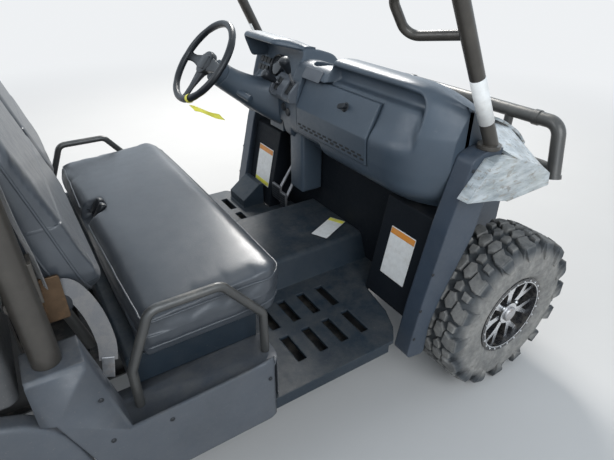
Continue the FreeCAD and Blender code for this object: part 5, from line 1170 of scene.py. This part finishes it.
def makeDoorParts():
    body = "glovebox_lid"
    knob, lean = cab(583, -200, 1072), Vector((-0.907, 0, 0.421))
    turned("doorKnob", ((0.017, -0.004), (0.018, 0.003), (0.015, 0.007), (0.009, 0.009), (0.009, 0.016),
                        (0, 0.017)), [(knob, lean)], "trim", body, segments=28)
    plate("doorLatch", knob + lean * 0.018, (0.046, 0.017), 0.012, 0.006, "trim", body, right=(0, -0.9, 0.3),
          up=(0.421, 0.27, 0.865))
    for row in (0, 1):
        for k in range(12):
            spot = cab(554.6 - row * 0.4, -342 + k * 36 + row * 14, 930 + row * 12)
            plate(f"vent{row}{k}", spot, (0.022, 0.007), 0.004, 0.003, "dark", body)


def makeFixings():
    heads = []
    for side in sides:
        for node, places in (("front_arch_panels", ((694, 985), (628, 820), (592, 640), (560, 500), (548, 380))),
                             ("side_panels", ((-440, 700), (-300, 540), (-20, 520), (-440, 560)))):
            starts = [cab(x, side * 900, z) for x, z in places]
            heads += [(hit, (0, side, 0)) for hit in landed(skinOf(nodes[node]), starts, (0, -side, 0), 0.23)]
    turned("panelBolts", ((0.0062, -0.001), (0.0062, 0.0015), (0.004, 0.0032), (0, 0.0037)), heads, "trim",
           slot="bare_steel", segments=12)


def makeWheelParts(end, hand, side):
    # a cap on the hub, four nuts round it and a ring of bolts along the lip, each where a ray meets the wheel
    node = f"{end}_rim_{hand}"
    low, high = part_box(node)
    centre, skin = (low + high) / 2, skinOf(nodes[node])

    def spots(radius, angles):
        starts = [(centre.x + radius * math.cos(a), side * 1.2, centre.z + radius * math.sin(a)) for a in angles]
        return [(hit, (0, side, 0)) for hit in landed(skin, starts, (0, -side, 0))]

    turned(f"{end}Cap{hand}", ((0.031, -0.004), (0.031, 0.006), (0.027, 0.011), (0.010, 0.013), (0, 0.013)),
           spots(0, [0]), "steel", bodyOf[node], "wheel_finish", 32)
    turned(f"{end}Nuts{hand}", ((0.009, -0.006), (0.009, 0.008), (0.006, 0.013), (0, 0.014)),
           spots(0.052, circle(4, 0.5)), "bolt", bodyOf[node], None, 6, 0)
    turned(f"{end}LipBolts{hand}", ((0.0045, -0.001), (0.0045, 0.003), (0.002, 0.0045), (0, 0.0045)),
           spots(0.156, circle(24, 0.5)), "bolt", bodyOf[node], None, 8)


def makeBedParts():
    # tie-down loops inside the box and the tailgate's two latches
    hook = ((-26, 672, 1030), (-24, 660, 1004), (0, 656, 994), (24, 660, 1004), (26, 672, 1030))
    for side in sides:
        for x in (-1400, -720):
            line = [cab(x + dx, side * y, z) for dx, y, z in hook]
            tube(f"tieDown{side}{x}", line, 0.004, "steel", bodyOf["cargo_box"])
    for y in (-560, 560):
        for hit in landed(skinOf(nodes["tailgate"]), [cab(-1900, y, 1040)], (1, 0, 0)):
            spot = hit + Vector((0.0022, 0, 0))
            plate(f"latchPlate{y}", spot, (0.070, 0.050), 0.004, 0.006, "trim", bodyOf["tailgate"])


def makePedalPads():
    for y, wide, z in ((330, 0.070, 520), (265, 0.041, 500)):
        for hit in landed(skinOf(nodes["pedals"]), [cab(400, y, z)], (1, 0, 0), 0.5):
            plate(f"pedalPad{y}", hit, (wide, 0.070), 0.006, 0.005, "trim", bodyOf["pedals"])
            for k in range(5):
                spot = hit + Vector((-0.003, 0, -0.024 + 0.012 * k))
                plate(f"pedalRib{y}{k}", spot, (wide * 0.86, 0.005), 0.003, 0.002, "well", bodyOf["pedals"])


def makeLamps():
    # a bulb on each front lens and bars across each tail lens
    for side in sides:
        for hit in landed(skinOf(nodes["headlights"]), [cab(1900, side * 400, 815)], (-1, 0, 0), 1.2):
            turned(f"bulb{side}", ((0.004, -0.012), (0.020, -0.002), (0.021, 0.001), (0.015, 0.0022), (0, 0.003)),
                   [(hit, (1, 0, 0.1))], "steel", bodyOf["headlights"], "lamp_lens", 28)
        for hit in landed(skinOf(nodes["tail_lights"]), [cab(-1900, side * 690, 920)], (1, 0, 0), 1.2):
            for k in range(3):
                spot = hit + Vector((-0.001, 0, -0.034 + 0.034 * k))
                plate(f"tailBar{side}{k}", spot, (0.018, 0.003), 0.002, 0.001, "dark", bodyOf["tail_lights"],
                      "tail_lens")


makeBedParts()
makePedalPads()
makeLamps()
makeLabels()
makeTag()
makeCushionWelts()
for node, name in backs.items():
    makeBackWelts(node, name)
makeBelts()
makeTray()
makeFlanges()
plate("centrePlate", cab(590.4, 30, 1141), (0.120, 0.046), 0.003, 0.006, "console", up=(0.54, 0, 0.84))
makeDoorParts()
makeFixings()
for end, hand, side in wheels:
    makeWheelParts(end, hand, side)

print("floor and sizes")


def makeFloor():
    half = 30
    mesh = meshFrom("studioFloor", [(-half, -half, 0), (half, -half, 0), (half, half, 0), (-half, half, 0)],
                    [(0, 1, 2, 3)])
    f = Finish("studioFloor", Roughness=0.9)
    f.link(Base_Color=f.mix(f.noise(3, 2, 0.5), studio["floorColour"], shade(studio["floorColour"], 1.04)))
    # far from the part the floor turns into the backdrop's own pale tone
    ahead, across, up = f.parts(f.coords())
    away = f.between((ahead * ahead + across * across) ** 0.5, *studio["fade"])
    glow = f.node("Emission", None, {"Color": studio["seen"][0], "Strength": 1.0})
    near = Wire(f.tree, f.shader.outputs[0])
    mixed = f.node("MixShader", None, {0: away * away * (3 - 2 * away), 1: near, 2: glow})
    feed(f.tree, f.tree.nodes["Material Output"].inputs[0], mixed)
    mesh.materials.append(f.material)
    floor = placed("studioFloor", mesh)
    floor.location.z = -0.002


makeFloor()
